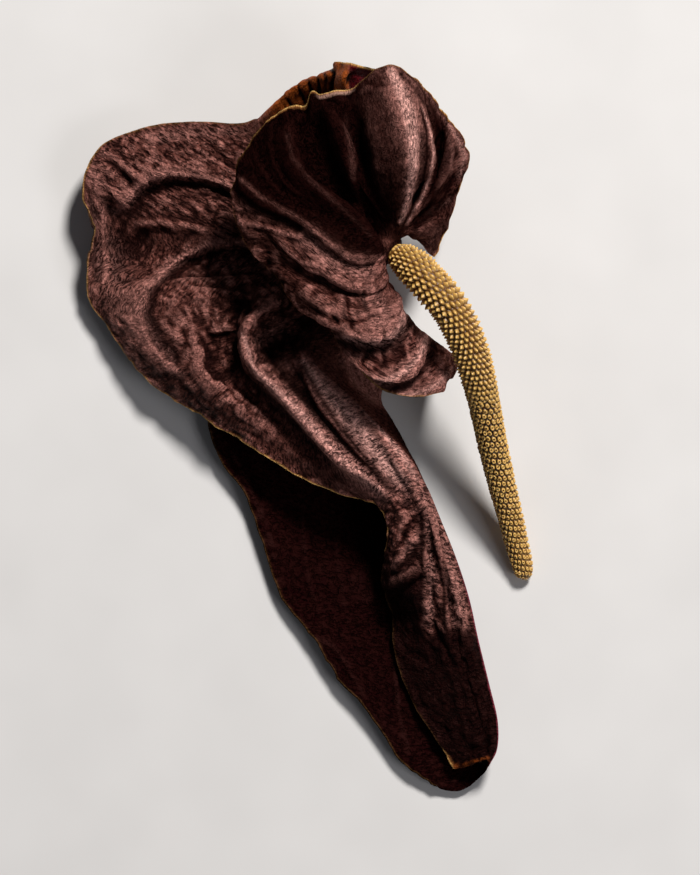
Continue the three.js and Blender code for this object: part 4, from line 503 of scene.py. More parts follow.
# The sheet's columns: nine across the spread half, three at the midrib and seven across the folded half.
MIDRIB_COLUMN = 10
LAST_COLUMN = 18
# Each half is worked out this much of a column past the midrib, so that their surfaces meet evenly.
PAST_MIDRIB = 0.15
SHEET_THICKNESS = 0.36
LOW_CLEARANCE = 0.06
# How far every point stays inside the solids' box.
SPATHE_MARGIN = 0.02
TUBE_MARGIN = 0.01
# The wrinkles of the spread half's upper part fall by this many degrees towards the right.
SLANT = 28
# Rows of the mesh along the midrib and columns across, as (from, to, count).
SHEET_STATIONS = [(0, 4, 30), (4, 7, 44), (7, 17, 130), (17, 22, 80), (22, 28, 80), (28, 31, 16),
                  (31, 40, 90)]
SPREAD_HALF_COLUMNS = [(0, 1, 10), (1, 8, 84), (8, 10, 10)]
FOLDED_HALF_COLUMNS = [(10, 11, 6), (11, 17, 86), (17, 18, 12)]
SPREAD_HALF_GLOSS = 0.05
# Crests and hollows at three widths: passes of the blur, their usual height in mm, their share in the tone of
# lighter crests and painted shade in hollows.
CREST_WIDTHS = ((5, 0.05, 0.22), (28, 0.22, 0.35), (150, 0.7, 0.45))
# How strong the painted rim light on each half's thin margin is: stations, and the strength there.
FOLDED_RIM_LIGHT = ((0, 6, 8, 9, 10.4, 11, 12.6, 14.4, 15, 16, 24, 25.5, 28, 40),
              (0.8, 0.9, 0.5, 0.2, 0.1, 0.7, 1, 1, 0.2, 0.06, 0.06, 0.3, 0.05, 0.05))
SPREAD_RIM_LIGHT = ((0, 1.5, 3, 6, 7, 13, 14, 17, 18, 20, 24, 25, 31, 32, 33.6, 38.8, 39.4, 40),
              (1, 1, 0.7, 0.6, 0.1, 0.2, 0.45, 0.45, 0.2, 0.6, 0.6, 0.9, 0.9, 0.5, 0.04, 0.04, 0.6, 0.6))


# Curves and ribs

def smooth(low, high, value):
    """0 below low, 1 above high, with an even turn between."""
    t = np.clip((value - low) / (high - low), 0, 1)
    return t * t * (3 - 2 * t)


def window(edges, value):
    """1 between the middle two edges, fading to 0 at the outer two."""
    return smooth(edges[0], edges[1], value) * (1 - smooth(edges[2], edges[3], value))


def bell(value, width):
    """1 at 0, falling off evenly to both sides."""
    return np.exp(-(value / width) ** 2)


def curve_between(p0, p1, p2, p3, share):
    """A centripetal Catmull-Rom curve from p1 to p2."""
    share = np.asarray(share)[..., None]

    def step(a, b):
        return np.maximum(np.linalg.norm(b - a, axis=-1, keepdims=True), 1e-6) ** 0.5

    t1 = step(p0, p1)
    t2 = t1 + step(p1, p2)
    t3 = t2 + step(p2, p3)
    t = t1 + share * (t2 - t1)
    a1 = (t1 - t) / t1 * p0 + t / t1 * p1
    a2 = (t2 - t) / (t2 - t1) * p1 + (t - t1) / (t2 - t1) * p2
    a3 = (t3 - t) / (t3 - t2) * p2 + (t - t2) / (t3 - t2) * p3
    b1 = (t2 - t) / t2 * a1 + t / t2 * a2
    b2 = (t3 - t) / (t3 - t1) * a2 + (t - t1) / (t3 - t1) * a3
    return (t2 - t) / (t2 - t1) * b1 + (t - t1) / (t2 - t1) * b2


def on_curve(keys, points, at):
    """The smooth curve through points, one for each key, at the places at."""
    keys = np.asarray(keys, float)
    at = np.asarray(at, float)
    i = np.clip(np.searchsorted(keys, at, side="right") - 1, 0, len(keys) - 2)
    share = (at - keys[i]) / (keys[i + 1] - keys[i])
    share = share.reshape((len(at),) + (1,) * (points.ndim - 2))
    share = np.broadcast_to(share, (len(at),) + points.shape[1:-1])
    padded = np.concatenate([2 * points[:1] - points[1:2], points, 2 * points[-1:] - points[-2:-1]])
    return curve_between(padded[i], padded[i + 1], padded[i + 2], padded[i + 3], share)


def table_curve(table, at):
    """The smooth curve through a table of points by their keys."""
    keys = sorted(table)
    return on_curve(keys, np.array([table[k] for k in keys], float), at)


def rim_point(degrees, side):
    """A point on the rim of the node's disc, measured from its top, on one side."""
    axis = NODE_AXIS / np.linalg.norm(NODE_AXIS)
    up = NODE_TOP - axis * NODE_TOP.dot(axis)
    up = up / np.linalg.norm(up)
    front = np.cross(axis, up)
    angle = np.radians(degrees)[..., None]
    return NODE_CENTRE + NODE_RADIUS * (np.cos(angle) * up + side * np.sin(angle) * front)


def middle_curves():
    """Keys and points of the three columns at the node and along the midrib."""
    disc = np.arange(LAST_NODE_STATION + 1)
    share = disc / LAST_NODE_STATION
    left_rim = rim_point(SPREAD_ARC[0] + SPREAD_ARC[1] * share, -1)
    right_rim = rim_point(FOLDED_ARC[0] + FOLDED_ARC[1] * share ** FOLDED_ARC_EASE, 1)
    keys = np.array(list(disc) + sorted(MIDRIB), float)
    midrib = np.array([MIDRIB[k] for k in sorted(MIDRIB)], float)
    left, right = (np.concatenate([rim, midrib * (1 - TOWARDS_RIBS)
                                   + table_curve(ribs, keys[len(disc):])[:, 0] * TOWARDS_RIBS])
                   for rim, ribs in ((left_rim, LEFT_RIBS), (right_rim, RIGHT_RIBS)))
    for i, degrees in enumerate(FOLDED_LAST_DEGREES):
        right[len(disc) + i] = rim_point(np.array(degrees), 1)
    middle = np.concatenate([(left_rim + right_rim) / 2, midrib])
    return keys, np.stack([left, middle, right], axis=1)


def steps(stretches):
    """Even steps through stretches of (from, to, count), with both ends of the whole."""
    parts = [np.array([stretches[0][0]], float)]
    for start, end, count in stretches:
        parts.append(np.linspace(start, end, count + 1)[1:])
    return np.concatenate(parts)


def sheet_points(stations, columns):
    """The plain sheet's points in mm, one row for each station."""
    keys, middle = middle_curves()
    left = table_curve(LEFT_RIBS, stations)[:, ::-1]
    right = table_curve(RIGHT_RIBS, stations)
    whole = np.concatenate([left, on_curve(keys, middle, stations), right], axis=1)
    across = on_curve(np.arange(whole.shape[1]), np.swapaxes(whole, 0, 1), columns)
    return np.swapaxes(across, 0, 1)


# Relief

def crest_distance(crest, x, y):
    """The signed distance to a crest line, positive on the left of its run, the run so far and its length."""
    best = np.full(x.shape, np.inf)
    side = np.ones(x.shape)
    along = np.zeros(x.shape)
    run = 0.0
    for (ax, ay), (bx, by) in zip(crest[:-1], crest[1:]):
        dx, dy = bx - ax, by - ay
        length = math.hypot(dx, dy)
        t = np.clip(((x - ax) * dx + (y - ay) * dy) / length ** 2, 0, 1)
        distance = np.hypot(x - ax - t * dx, y - ay - t * dy)
        nearer = distance < best
        best = np.where(nearer, distance, best)
        side = np.where(nearer, np.sign(dx * (y - ay) - dy * (x - ax)), side)
        along = np.where(nearer, run + t * length, along)
        run += length
    return best * side, along, run


def crest_lift(height, trough, gentle, steep, hollow, crest, fade, x, y):
    """A rise to the crest on its right, and a steep drop to a trough on its left."""
    signed, along, length = crest_distance(crest, x, y)
    ends = smooth(*fade, along) * smooth(*fade, length - along)
    drop = (height + trough) * bell(signed, steep) - trough * bell(signed, hollow)
    return ends * np.where(signed < 0, height * bell(signed, gentle), drop)


def patch_weights(stations, columns):
    """How far each place belongs to each patch, from 0 to 1."""
    return {name: window(along, stations) * window(across, columns)
            for name, (along, across) in PATCHES.items()}


def noise(points, seed):
    """Smooth gradient noise in space, from about -1 to 1."""
    table = np.random.default_rng(seed)
    order = table.permutation(256)
    gradients = table.normal(size=(256, 3))
    gradients /= np.linalg.norm(gradients, axis=1, keepdims=True)
    cell = np.floor(points).astype(int)
    inside = points - cell
    ease = inside ** 3 * (inside * (6 * inside - 15) + 10)
    total = np.zeros(points.shape[:-1])
    for corner in itertools.product((0, 1), repeat=3):
        spot = (cell + corner) & 255
        pick = order[(order[(order[spot[..., 0]] + spot[..., 1]) & 255] + spot[..., 2]) & 255]
        value = np.einsum("...k,...k->...", gradients[pick], inside - corner)
        for k, far in enumerate(corner):
            value = value * (ease[..., k] if far else 1 - ease[..., k])
        total += value
    return 1.7 * total


def crumple(points, seed):
    """Rounded swellings with sharp creases between them, from about -0.7 to 0.7."""
    bent = points + 0.5 * noise(points * 0.5, seed + 1)[..., None]
    first = np.abs(noise(bent, seed + 2))
    second = np.abs(noise(bent * 2.1 + 7, seed + 3))
    return 1.3 * first + 0.6 * second - 0.6


def drawn_out(values, axis, passes):
    """Values blurred along one way of the grid, with their spread kept."""
    spread = values.std()
    for _ in range(passes):
        padded = np.concatenate([values.take([0], axis), values, values.take([-1], axis)], axis)
        before = padded.take(range(values.shape[axis]), axis)
        after = padded.take(range(2, values.shape[axis] + 2), axis)
        values = 0.25 * before + 0.5 * values + 0.25 * after
    return values * spread / values.std()


def blurred(values, passes):
    """Values of a grid, each pass half its own and half its four neighbours'."""
    for _ in range(passes):
        padded = np.pad(values, 1, mode="edge")
        values = (padded[1:-1, 1:-1] * 4 + padded[:-2, 1:-1] + padded[2:, 1:-1] + padded[1:-1, :-2]
                  + padded[1:-1, 2:]) / 8
    return values


def convexity(points, outward, passes):
    """How far each point stands above the mean of its surroundings, in mm."""
    around = np.stack([blurred(points[..., k], passes) for k in range(3)], axis=-1)
    return np.einsum("ijk,ijk->ij", points - around, outward)


def rib_runs(points, midrib_at):
    """The distance along each rib from the midrib, in mm, negative on the spread half."""
    steps_across = np.linalg.norm(np.diff(points, axis=1), axis=2)
    run = np.concatenate([np.zeros((len(points), 1)), np.cumsum(steps_across, axis=1)], axis=1)
    return run - run[:, [midrib_at]]


def grid_normals(points):
    """Unit directions square to the grid, as the average of the cells around each point."""
    diagonal = points[1:, 1:] - points[:-1, :-1]
    other = points[:-1, 1:] - points[1:, :-1]
    cell = np.cross(diagonal, other)
    cell /= np.maximum(np.linalg.norm(cell, axis=2, keepdims=True), 1e-9)
    total = np.zeros_like(points)
    for di in (0, 1):
        for dj in (0, 1):
            total[di:di + cell.shape[0], dj:dj + cell.shape[1]] += cell
    return total / np.maximum(np.linalg.norm(total, axis=2, keepdims=True), 1e-9)


# Meshes

def add_mesh(name, vertices, faces, attributes, material):
    """A smooth-shaded mesh object from points in mm on the flower, with values for its material."""
    mesh = bpy.data.meshes.new(name)
    mesh.from_pydata(((vertices - PART_CENTRE) * MM).tolist(), [], list(faces))
    mesh.shade_smooth()
    for label, values in attributes.items():
        layer = mesh.attributes.new(label, "FLOAT", "POINT")
        layer.data.foreach_set("value", np.asarray(values, np.float32).ravel())
    mesh.materials.append(material)
    return add_object(name, mesh)


def add_object(name, data):
    """An object of its own in the scene."""
    thing = bpy.data.objects.new(name, data)
    bpy.context.scene.collection.objects.link(thing)
    return thing


def kept_inside(vertices, box, margin):
    """Points in mm on the flower, held inside a box of the frame."""
    low, high = (np.array(corner) / MM + PART_CENTRE for corner in box)
    return np.clip(vertices, low + margin, high - margin)


def thickened(points, normals, thickness):
    """Vertices and faces of a closed sheet round a grid of points."""
    rows, cells = points.shape[:2]
    half = normals * thickness / 2
    vertices = np.concatenate([(points + half).reshape(-1, 3), (points - half).reshape(-1, 3)])
    top = np.arange(rows * cells).reshape(rows, cells)
    under = top + rows * cells
    quads = [
        np.stack([top[:-1, :-1], top[1:, :-1], top[1:, 1:], top[:-1, 1:]], -1).reshape(-1, 4),
        np.stack([under[:-1, :-1], under[:-1, 1:], under[1:, 1:], under[1:, :-1]], -1).reshape(-1, 4),
        np.stack([top[:-1, 0], under[:-1, 0], under[1:, 0], top[1:, 0]], -1),
        np.stack([top[1:, -1], under[1:, -1], under[:-1, -1], top[:-1, -1]], -1),
        np.stack([top[0, 1:], under[0, 1:], under[0, :-1], top[0, :-1]], -1),
        np.stack([top[-1, :-1], under[-1, :-1], under[-1, 1:], top[-1, 1:]], -1),
    ]
    return vertices, np.concatenate(quads)


def ring_points(line, turn, reach):
    """Rings of points round a line, turned and at their reach from it."""
    points, _, side, other, _ = line
    spoke = np.cos(turn)[..., None] * side[:, None] + np.sin(turn)[..., None] * other[:, None]
    return points[:, None, :3] + spoke * reach[..., None]


def add_tube(name, surface, ends_at, values, node, material):
    """A closed tube from rings of points, with an end point at each end, held inside its node's box."""
    rows, around = surface.shape[:2]
    vertices = np.concatenate([surface.reshape(-1, 3), np.array(ends_at)])
    vertices = kept_inside(vertices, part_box(node), TUBE_MARGIN)
    index = np.arange(rows * around).reshape(rows, around)
    after = np.roll(index, -1, axis=1)
    faces = np.stack([index[:-1], after[:-1], after[1:], index[1:]], -1).reshape(-1, 4).tolist()
    faces += np.stack([after[0], index[0], np.full(around, rows * around)], -1).tolist()
    faces += np.stack([index[-1], after[-1], np.full(around, rows * around + 1)], -1).tolist()
    padded = {label: np.concatenate([v.ravel(), [v.flat[0], v.flat[-1]]]) for label, v in values.items()}
    return add_mesh(name, vertices, faces, padded, material)


# The spathe

def above_surface(points):
    """The middle of the sheet, kept so high that its underside clears the surface."""
    points[..., 2] = np.maximum(points[..., 2], LOW_CLEARANCE + SHEET_THICKNESS / 2)
    return points


def from_margin(columns):
    """How many columns a place is from the nearer margin."""
    return np.minimum(columns, LAST_COLUMN - columns)


def folded(points, weight):
    """The sheet with the folds of its lobe raised."""
    x, y = points[..., 0], points[..., 1]
    raised = points.copy()
    raised[..., 2] += weight * sum(crest_lift(*fold, FOLD_ENDS, x, y) for fold in FOLDS)
    return above_surface(raised)


def crease_relief(points, weights):
    """The finer creases' height above the sheet, in mm."""
    x, y = points[..., 0], points[..., 1]
    relief = np.zeros(x.shape)
    for patch, creases in CREASES.items():
        for crease in creases:
            relief += weights[patch] * crest_lift(*crease, CREASE_ENDS, x, y)
    for patch, dents in DENTS.items():
        for depth, width, line in dents:
            relief += weights[patch] * crest_lift(-depth, 0, width, width, 1, line, CREASE_ENDS, x, y)
    return relief


def slanted(points, along, across):
    """Points in a frame turned along the spread half's own wrinkles, drawn out that way."""
    turn = math.radians(SLANT)
    x = points[..., 0] * math.cos(turn) - points[..., 1] * math.sin(turn)
    y = points[..., 0] * math.sin(turn) + points[..., 1] * math.cos(turn)
    return np.stack([x / along, y / across, points[..., 2] / along], axis=-1)


def wrinkle_relief(points, stations, weights):
    """Crumpled dry tissue: wrinkles drawn out along the veins, with swellings between them."""
    broad = crumple(points / 8.0, 11)
    small = drawn_out(crumple(points / 3.4, 21), 1, 4)
    strokes = drawn_out(crumple(points / 1.6, 31), 1, 8)
    ripples = drawn_out(crumple(points / 1.8, 41), 0, 6)
    pleats = crumple(slanted(points, 7.0, 2.6), 51)
    fine_pleats = crumple(slanted(points, 3.2, 1.2), 61)
    ringed = smooth(14, 16, stations)
    banded = smooth(16, 17.5, stations)
    lobe, head = weights["lobe"], weights["head"]
    relief = lobe * (1 - ringed) * (0.3 * broad + 0.5 * pleats + 0.3 * fine_pleats)
    relief += lobe * ringed * (0.4 * broad + 0.3 * ripples + 0.2 * small)
    relief += weights["back"] * (0.2 * broad + 0.2 * small + 0.2 * strokes)
    relief += head * (1 - banded) * (0.25 * broad + 0.1 * small + 0.1 * strokes)
    relief += head * banded * (0.2 * broad + 0.44 * small + 0.16 * strokes)
    relief += weights["roll"] * (0.06 * broad + 0.12 * small + 0.1 * ripples)
    relief += weights["tail"] * (0.15 * broad + 0.3 * small + 0.3 * strokes)
    relief += weights["lower"] * (0.15 * broad + 0.1 * small + 0.16 * strokes)
    return relief


def rim_waves(points, columns):
    """The dry margin's small waves, and its edge turned up a little."""
    near = 1 - smooth(0, 1.1, from_margin(columns))
    return near * (0.25 + 0.55 * noise(points / 3.5, 71) + 0.25 * noise(points / 1.3, 72))


def rim_curl(stations, columns):
    """The hook of the head's margin, where it curls outward."""
    hook = bell(stations - 12.85, 0.22) - 0.5 * bell(stations - 13.3, 0.2)
    share = smooth(17.0, 17.9, columns) * hook
    return share[..., None] * np.array([-0.5, 1.5, 0.9])


def crumpled(plain, stations, columns, weights, facing):
    """The plain sheet with its folds, creases, wrinkles and rim, and the way outward at each point."""
    points = folded(plain, weights["lobe"])
    face = facing * smooth(0.2, 1.2, np.abs(columns - MIDRIB_COLUMN))
    outward = grid_normals(points) * face[..., None]
    relief = crease_relief(points, weights) + wrinkle_relief(points, stations, weights)
    relief = relief * (0.35 + 0.65 * smooth(0, 0.8, from_margin(columns))) + rim_waves(points, columns)
    points = points + outward * relief[..., None] + rim_curl(stations, columns)
    return above_surface(points), outward


def grain_coordinates(points, stations, columns, run):
    """Coordinates for the fine wrinkles: across the ribs, along them, and how far apart the ribs are."""
    spacing = np.linalg.norm(np.gradient(points, axis=0), axis=2) / np.gradient(stations, axis=0)
    spread = 1 - smooth(6.5, 8.5, columns)
    even = window((7, 8.5, 14, 16), stations) * spread
    rings = window((14, 16, 20.5, 22), stations) * spread
    return {"across": stations, "along": run, "even": even, "rings": rings,
            "spacing": np.log2(np.clip(blurred(spacing, 24), 0.5, 16))}


def line_weight(line, x, y):
    """How near a place is to a painted line of (x, y, width) points, from 0 to 1."""
    signed, along, length = crest_distance([point[:2] for point in line], x, y)
    runs = np.cumsum([0] + [math.dist(a[:2], b[:2]) for a, b in zip(line[:-1], line[1:])])
    return bell(signed, np.interp(along, runs, [point[2] for point in line]))


def painted(painted_shade, weights, x, y):
    """The painted highlight and painted shade, with the painted lines and then painted highlights on the
    lobe's crests laid over them in turn.
    """
    light = np.zeros(x.shape)
    for patch, lines in LIGHT_AND_SHADE_LINES.items():
        for strength, line in lines:
            weight = weights[patch] * line_weight(line, x, y)
            # Highlight lines raise the painted highlight and clear the painted shade under them; the others
            # add painted shade.
            if strength > 0:
                light = np.maximum(light, strength * weight)
                painted_shade = painted_shade * (1 - min(1.4 * strength, 1) * weight)
            else:
                painted_shade = np.maximum(painted_shade, -strength * weight)
    # Painted highlights along the crests of the lobe's first two folds.
    for fold in FOLDS[:2]:
        weight = weights["lobe"] * line_weight([(*point, 0.8) for point in fold[-1]], x, y)
        light = np.maximum(light, 0.5 * weight)
    return light, painted_shade


def painted_tail_shadow(stations, columns, x, y):
    """The tail's painted cast shadow at its end, with a jagged edge to it, and painted shade beside its
    crest.
    """
    tail = smooth(30, 31.5, stations) * (1 - smooth(9.4, 10, columns))
    jagged = -41.5 + 2.5 * np.abs(np.mod((x - 21) / 5, 2) - 1)
    end = 1 - smooth(jagged - 0.6, jagged + 0.6, y)
    return tail * np.maximum(end, (1 - smooth(24, 25.4, x)) * (1 - smooth(-29, -25, y)))


def spathe_tones(points, stations, columns, weights):
    """Where the sheet gets painted highlights, painted shade, reddish painted shade, painted light through
    its thin parts, its pale lip and painted rim light.
    """
    x, y = points[..., 0], points[..., 1]
    head = weights["head"]
    # Painted shade inside the curl of the head's margin, under the deep crimson laid on it later.
    curl = (1 - smooth(1.2, 1.6, stations)) * (1 - smooth(2.2, 3.2, columns)) * smooth(9.4, 10.4, x)
    # Painted shade on the lower sheet beneath the front flap.
    lower = window((29, 30.5, 42, 43), stations) * smooth(11, 12, columns)
    # Painted shade over the folded-back head.
    dome = head * window((2.4, 3.4, 17.2, 18), stations) * (0.8 + 0.2 * smooth(10, 11.5, stations))
    # Painted cast shadow on the tail's end, and painted shade beside its crest.
    tail = painted_tail_shadow(stations, columns, x, y)
    # All the painted shade together, the deepest of each kind.
    painted_shade = np.maximum.reduce([dome, 0.94 * lower, 0.98 * tail, 0.8 * curl])
    light, painted_shade = painted(painted_shade, weights, x, y)
    # Painted light coming through the thin back flap, and through the tail's tip.
    painted_backlight = window((-2, -1, 6, 7.5), stations) * (1 - smooth(4, 6, columns))
    painted_backlight = np.maximum(painted_backlight, 0.6 * smooth(39.6, 39.9, stations) * (1 - smooth(8, 9.4, columns)))
    # Painted rim light along the midrib's edge down the tail.
    midrib_rim_light = smooth(33.5, 35, stations) * (1 - smooth(0.15, 0.5, np.abs(columns - MIDRIB_COLUMN)))
    # Reddish painted shade on the lower sheet, the tail's shadowed end and a band across the head.
    red_shade = 0.9 * lower + 0.5 * tail + 0.5 * window((3, 3.8, 5.4, 6.6), stations) * head
    lip = window((10.6, 11.2, 12.5, 12.8), stations) * smooth(13, 14, columns)
    on_spread = columns < MIDRIB_COLUMN
    # The painted rim light's strength along each half's margin.
    rim = np.where(on_spread, np.interp(stations, *SPREAD_RIM_LIGHT), np.interp(stations, *FOLDED_RIM_LIGHT))
    tones = {"red_shade": red_shade, "painted_shade": painted_shade, "light": light, "painted_backlight": painted_backlight * (1 - curl), "midrib_rim_light": midrib_rim_light, "curl": curl,
             "lip": lip, "rim": rim}
    return {label: np.clip(tone, 0, 1) for label, tone in tones.items()}


def spathe_half(name, columns, past_midrib, gloss):
    """One half of the sheet, as far as the midrib, worked out with one column more beyond it."""
    rows = steps(SHEET_STATIONS)
    spread = past_midrib > MIDRIB_COLUMN
    columns = np.concatenate([columns, [past_midrib]] if spread else [[past_midrib], columns])
    kept = slice(None, -1) if spread else slice(1, None)
    plain = sheet_points(rows, columns)
    stations, columns = np.meshgrid(rows, columns, indexing="ij")
    weights = patch_weights(stations, columns)
    points, outward = crumpled(plain, stations, columns, weights, 1.0 if spread else -1.0)
    crest = sum(share * convexity(points, outward, passes) / usual for passes, usual, share in CREST_WIDTHS)
    run = rib_runs(points, -2 if spread else 1)
    values = spathe_tones(points, stations, columns, weights)
    values["crest"] = np.clip(0.5 + 0.5 * crest, 0, 1)
    values["margin"] = run - run[:, :1] if spread else run[:, -1:] - run
    values.update(grain_coordinates(points, stations, columns, run))
    normals = grid_normals(points)[:, kept]
    vertices, faces = thickened(points[:, kept], normals, SHEET_THICKNESS)
    vertices = kept_inside(vertices, cad_box, SPATHE_MARGIN)
    doubled = {label: np.tile(value[:, kept].ravel(), 2) for label, value in values.items()}
    half = add_mesh(name, vertices, faces.tolist(), doubled, spathe_material(gloss))
    facing = np.concatenate([normals.reshape(-1, 3), -normals.reshape(-1, 3)])
    half.data.normals_split_custom_set_from_vertices(facing.tolist())
    return half


def spathe():
    spread = steps(SPREAD_HALF_COLUMNS)
    folded_over = steps(FOLDED_HALF_COLUMNS)
    return [spathe_half("spathe_spread_half", spread, MIDRIB_COLUMN + PAST_MIDRIB, SPREAD_HALF_GLOSS),
            spathe_half("spathe_folded_half", folded_over, MIDRIB_COLUMN - PAST_MIDRIB, 0.0)]


# The spadix and the stalk

def line_frames(line, count):
    """Even steps along a smooth line: points with radii, runs, two cross directions and the way forward."""
    table = np.array(line, float)
    keys = np.arange(len(table))
    fine = on_curve(keys, table[:, None, :], np.linspace(0, len(table) - 1, 1200))[:, 0]
    length = np.concatenate([[0], np.cumsum(np.linalg.norm(np.diff(fine[:, :3], axis=0), axis=1))])
    at = np.linspace(0, length[-1], count)
    points = np.stack([np.interp(at, length, fine[:, k]) for k in range(fine.shape[1])], axis=1)
    forward = np.gradient(points[:, :3], axis=0)
    forward /= np.linalg.norm(forward, axis=1, keepdims=True)
    side = np.zeros_like(forward)
    first = np.cross(forward[0], (0, 0, 1))
    side[0] = first / np.linalg.norm(first)
    for i in range(1, count):
        moved = side[i - 1] - forward[i] * side[i - 1].dot(forward[i])
        side[i] = moved / np.linalg.norm(moved)
    return points, at, side, np.cross(forward, side), forward


def ring_grid(at, around):
    """The run along the line and the turn round it, for each point of the rings."""
    return np.meshgrid(at, np.linspace(0, 2 * math.pi, around, endpoint=False), indexing="ij")


def scattered(seed, spread):
    """A number from 0 to 1 that looks random, for each seed."""
    return np.mod(np.sin(seed) * spread, 1)


def floret_cells(along, turn, radius, lattice):
    """Per place: how far its floret and the next are, its bearing, its own number and the furrow beside."""
    round_it, pitch, climb = lattice
    t = turn / (2 * math.pi)
    row = along / pitch + climb * t
    nearest = np.full(along.shape, 9.0)
    second = nearest.copy()
    own = np.zeros(along.shape)
    bearing = np.zeros(along.shape)
    for step_row, step_place in itertools.product((-1, 0, 1, 2), (-1, 0, 1)):
        r = np.floor(row) + step_row
        offset = 0.5 * np.mod(r, 2)
        c = np.round(round_it * t - offset) + step_place
        turns = np.floor(c / round_it)
        seed = np.mod(c, round_it) * 78.233 + (r - climb * turns) * 12.9898
        one = scattered(seed, 43758.5453)
        two = scattered(seed * 1.7 + 2, 24634.6345)
        t0 = (c + offset) / round_it
        around = (t - t0) * 2 * math.pi * radius + FLORET_STRAY * (one - 0.5)
        lengthways = 0.9 * pitch * ((row - r) - climb * (t - t0)) + FLORET_STRAY * (two - 0.5)
        distance = np.hypot(around, lengthways)
        nearer = distance < nearest
        second = np.where(nearer, nearest, np.minimum(second, distance))
        own = np.where(nearer, one, own)
        bearing = np.where(nearer, np.arctan2(lengthways, around), bearing)
        nearest = np.where(nearer, distance, nearest)
    lane = round_it * t + 0.5 * row
    return nearest, second, bearing, own, smooth(0.26, 0.48, np.abs(lane - np.round(lane)))


def spadix():
    """Each floret is a low four-lobed cushion with a small ring on it, prickly near the node."""
    rows, around = SPADIX_MESH
    line = line_frames(SPADIX_LINE, rows)
    points, at, _, _, forward = line
    along, turn = ring_grid(at, around)
    share = along / at[-1]
    radius = points[:, [3]]
    near_node = share + 0.02 * np.sin(3 * turn) < LATTICE_CHANGE
    cells = zip(*(floret_cells(along, turn, radius, lattice) for lattice in (NODE_LATTICE, TIP_LATTICE)))
    nearest, second, bearing, own, furrow = (np.where(near_node, a, b) for a, b in cells)
    narrowed = np.clip(radius / 3.2, 0.66, 1)
    gap = smooth(0.03, 0.36, second - nearest) * (1 - 0.6 * furrow)
    lobes = np.cos(4 * bearing + 6 * own)
    prickly = 1 - smooth(0.36, 0.56, share)
    dome = np.sqrt(np.clip(1 - (nearest / (0.80 - 0.24 * prickly + 0.08 * lobes)) ** 2, 0, 1))
    ring = bell(nearest / narrowed - 0.36, 0.12) * (1 - 0.75 * prickly)
    pit = bell(nearest, 0.19 * narrowed) * (1 - prickly)
    prick = bell(nearest, 0.24) * prickly
    raised = 0.12 * gap + 0.18 * gap * dome + (0.14 + 0.12 * own) * ring + (0.42 + 0.26 * own) * prick
    rough = 0.05 * noise(np.stack([along, radius * np.cos(turn), radius * np.sin(turn)], -1) * 2.2, 81)
    height = -0.36 + raised - 0.2 * pit - 0.14 * furrow + rough
    ends = smooth(0, 0.02, share) * (1 - smooth(0.985, 1, share))
    tip = np.sqrt(np.clip(1 - smooth(0.962, 1.0, share) ** 2, 0.0004, 1))
    surface = ring_points(line, turn, (radius + 0.08 + height * ends) * tip)
    ends_at = (points[0, :3], points[-1, :3] + forward[-1] * 0.12)
    # The gaps carry painted shade; rings and prick tips get pale colour with painted glints.
    values = {"gap": gap * (0.3 + 0.7 * dome), "pale_and_glint": np.clip(ring + prick, 0, 1), "pit": pit,
              "share": share, "pick": own}
    return add_tube("dried_spadix", surface, ends_at, values, "spadix", spadix_material())


def stalk():
    """The stalk's cut end: faint ribs along it, and a shallow pith in the cut."""
    rows, around = STALK_MESH
    line = line_frames([point + (STALK_RADIUS,) for point in STALK_LINE], rows)
    points, at, _, _, forward = line
    along, turn = ring_grid(at, around)
    ribs = 0.07 * np.cos(9 * turn + 0.3 * np.sin(along)) + 0.05 * np.cos(17 * turn + 0.5 * along)
    round_off = smooth(0, 0.5, at[-1] - along)
    surface = ring_points(line, turn, (STALK_RADIUS - 0.13 + ribs) * (0.9 + 0.1 * round_off))
    pith = [surface[-1] * (1 - share) + points[-1, :3] * share - forward[-1] * 0.5 * math.sin(1.5 * share)
            for share in PITH_RINGS]
    surface = np.concatenate([surface, np.array(pith)])
    ends_at = (points[0, :3], points[-1, :3] - forward[-1] * 0.55)
    return add_tube("dried_stalk", surface, ends_at, {}, "peduncle", stalk_material())


# Materials

# The spathe's own browns, its painted highlights and shade, its dents and cracks, painted light through its
# thin back, and painted rim light.
BROWN = (0.132, 0.042, 0.032)
WARM_BROWN = (0.205, 0.073, 0.057)
CREST_WEAR_AND_HIGHLIGHT = (0.50, 0.210, 0.172)
HOLLOW_SHADE = (0.014, 0.0034, 0.003)
LIT = (0.68, 0.310, 0.260)
BRIGHTEST_HIGHLIGHT = (1.0, 0.53, 0.455)
SHADED_HOLLOW = (0.0022, 0.0006, 0.0005)
SHADED_CREST = (0.010, 0.0026, 0.0021)
SHADE_RED = (0.014, 0.0016, 0.0024)
DENT_SHADE = (0.004, 0.001, 0.001)
CRACK = (0.02, 0.005, 0.004)
DIM_BACKLIGHT_AMBER = (0.016, 0.0034, 0.0012)
BACKLIGHT_AMBER = (0.42, 0.092, 0.013)
RIM_LIGHT_ROSE = (0.30, 0.035, 0.07)
CURL_RED = (0.11, 0.004, 0.009)
PALE_LIP = (0.46, 0.26, 0.20)
RIM_LIGHT_ORANGE = (0.42, 0.16, 0.05)
RIM_LIGHT_YELLOW = (0.75, 0.45, 0.15)
SHEEN = (1.0, 0.62, 0.54)
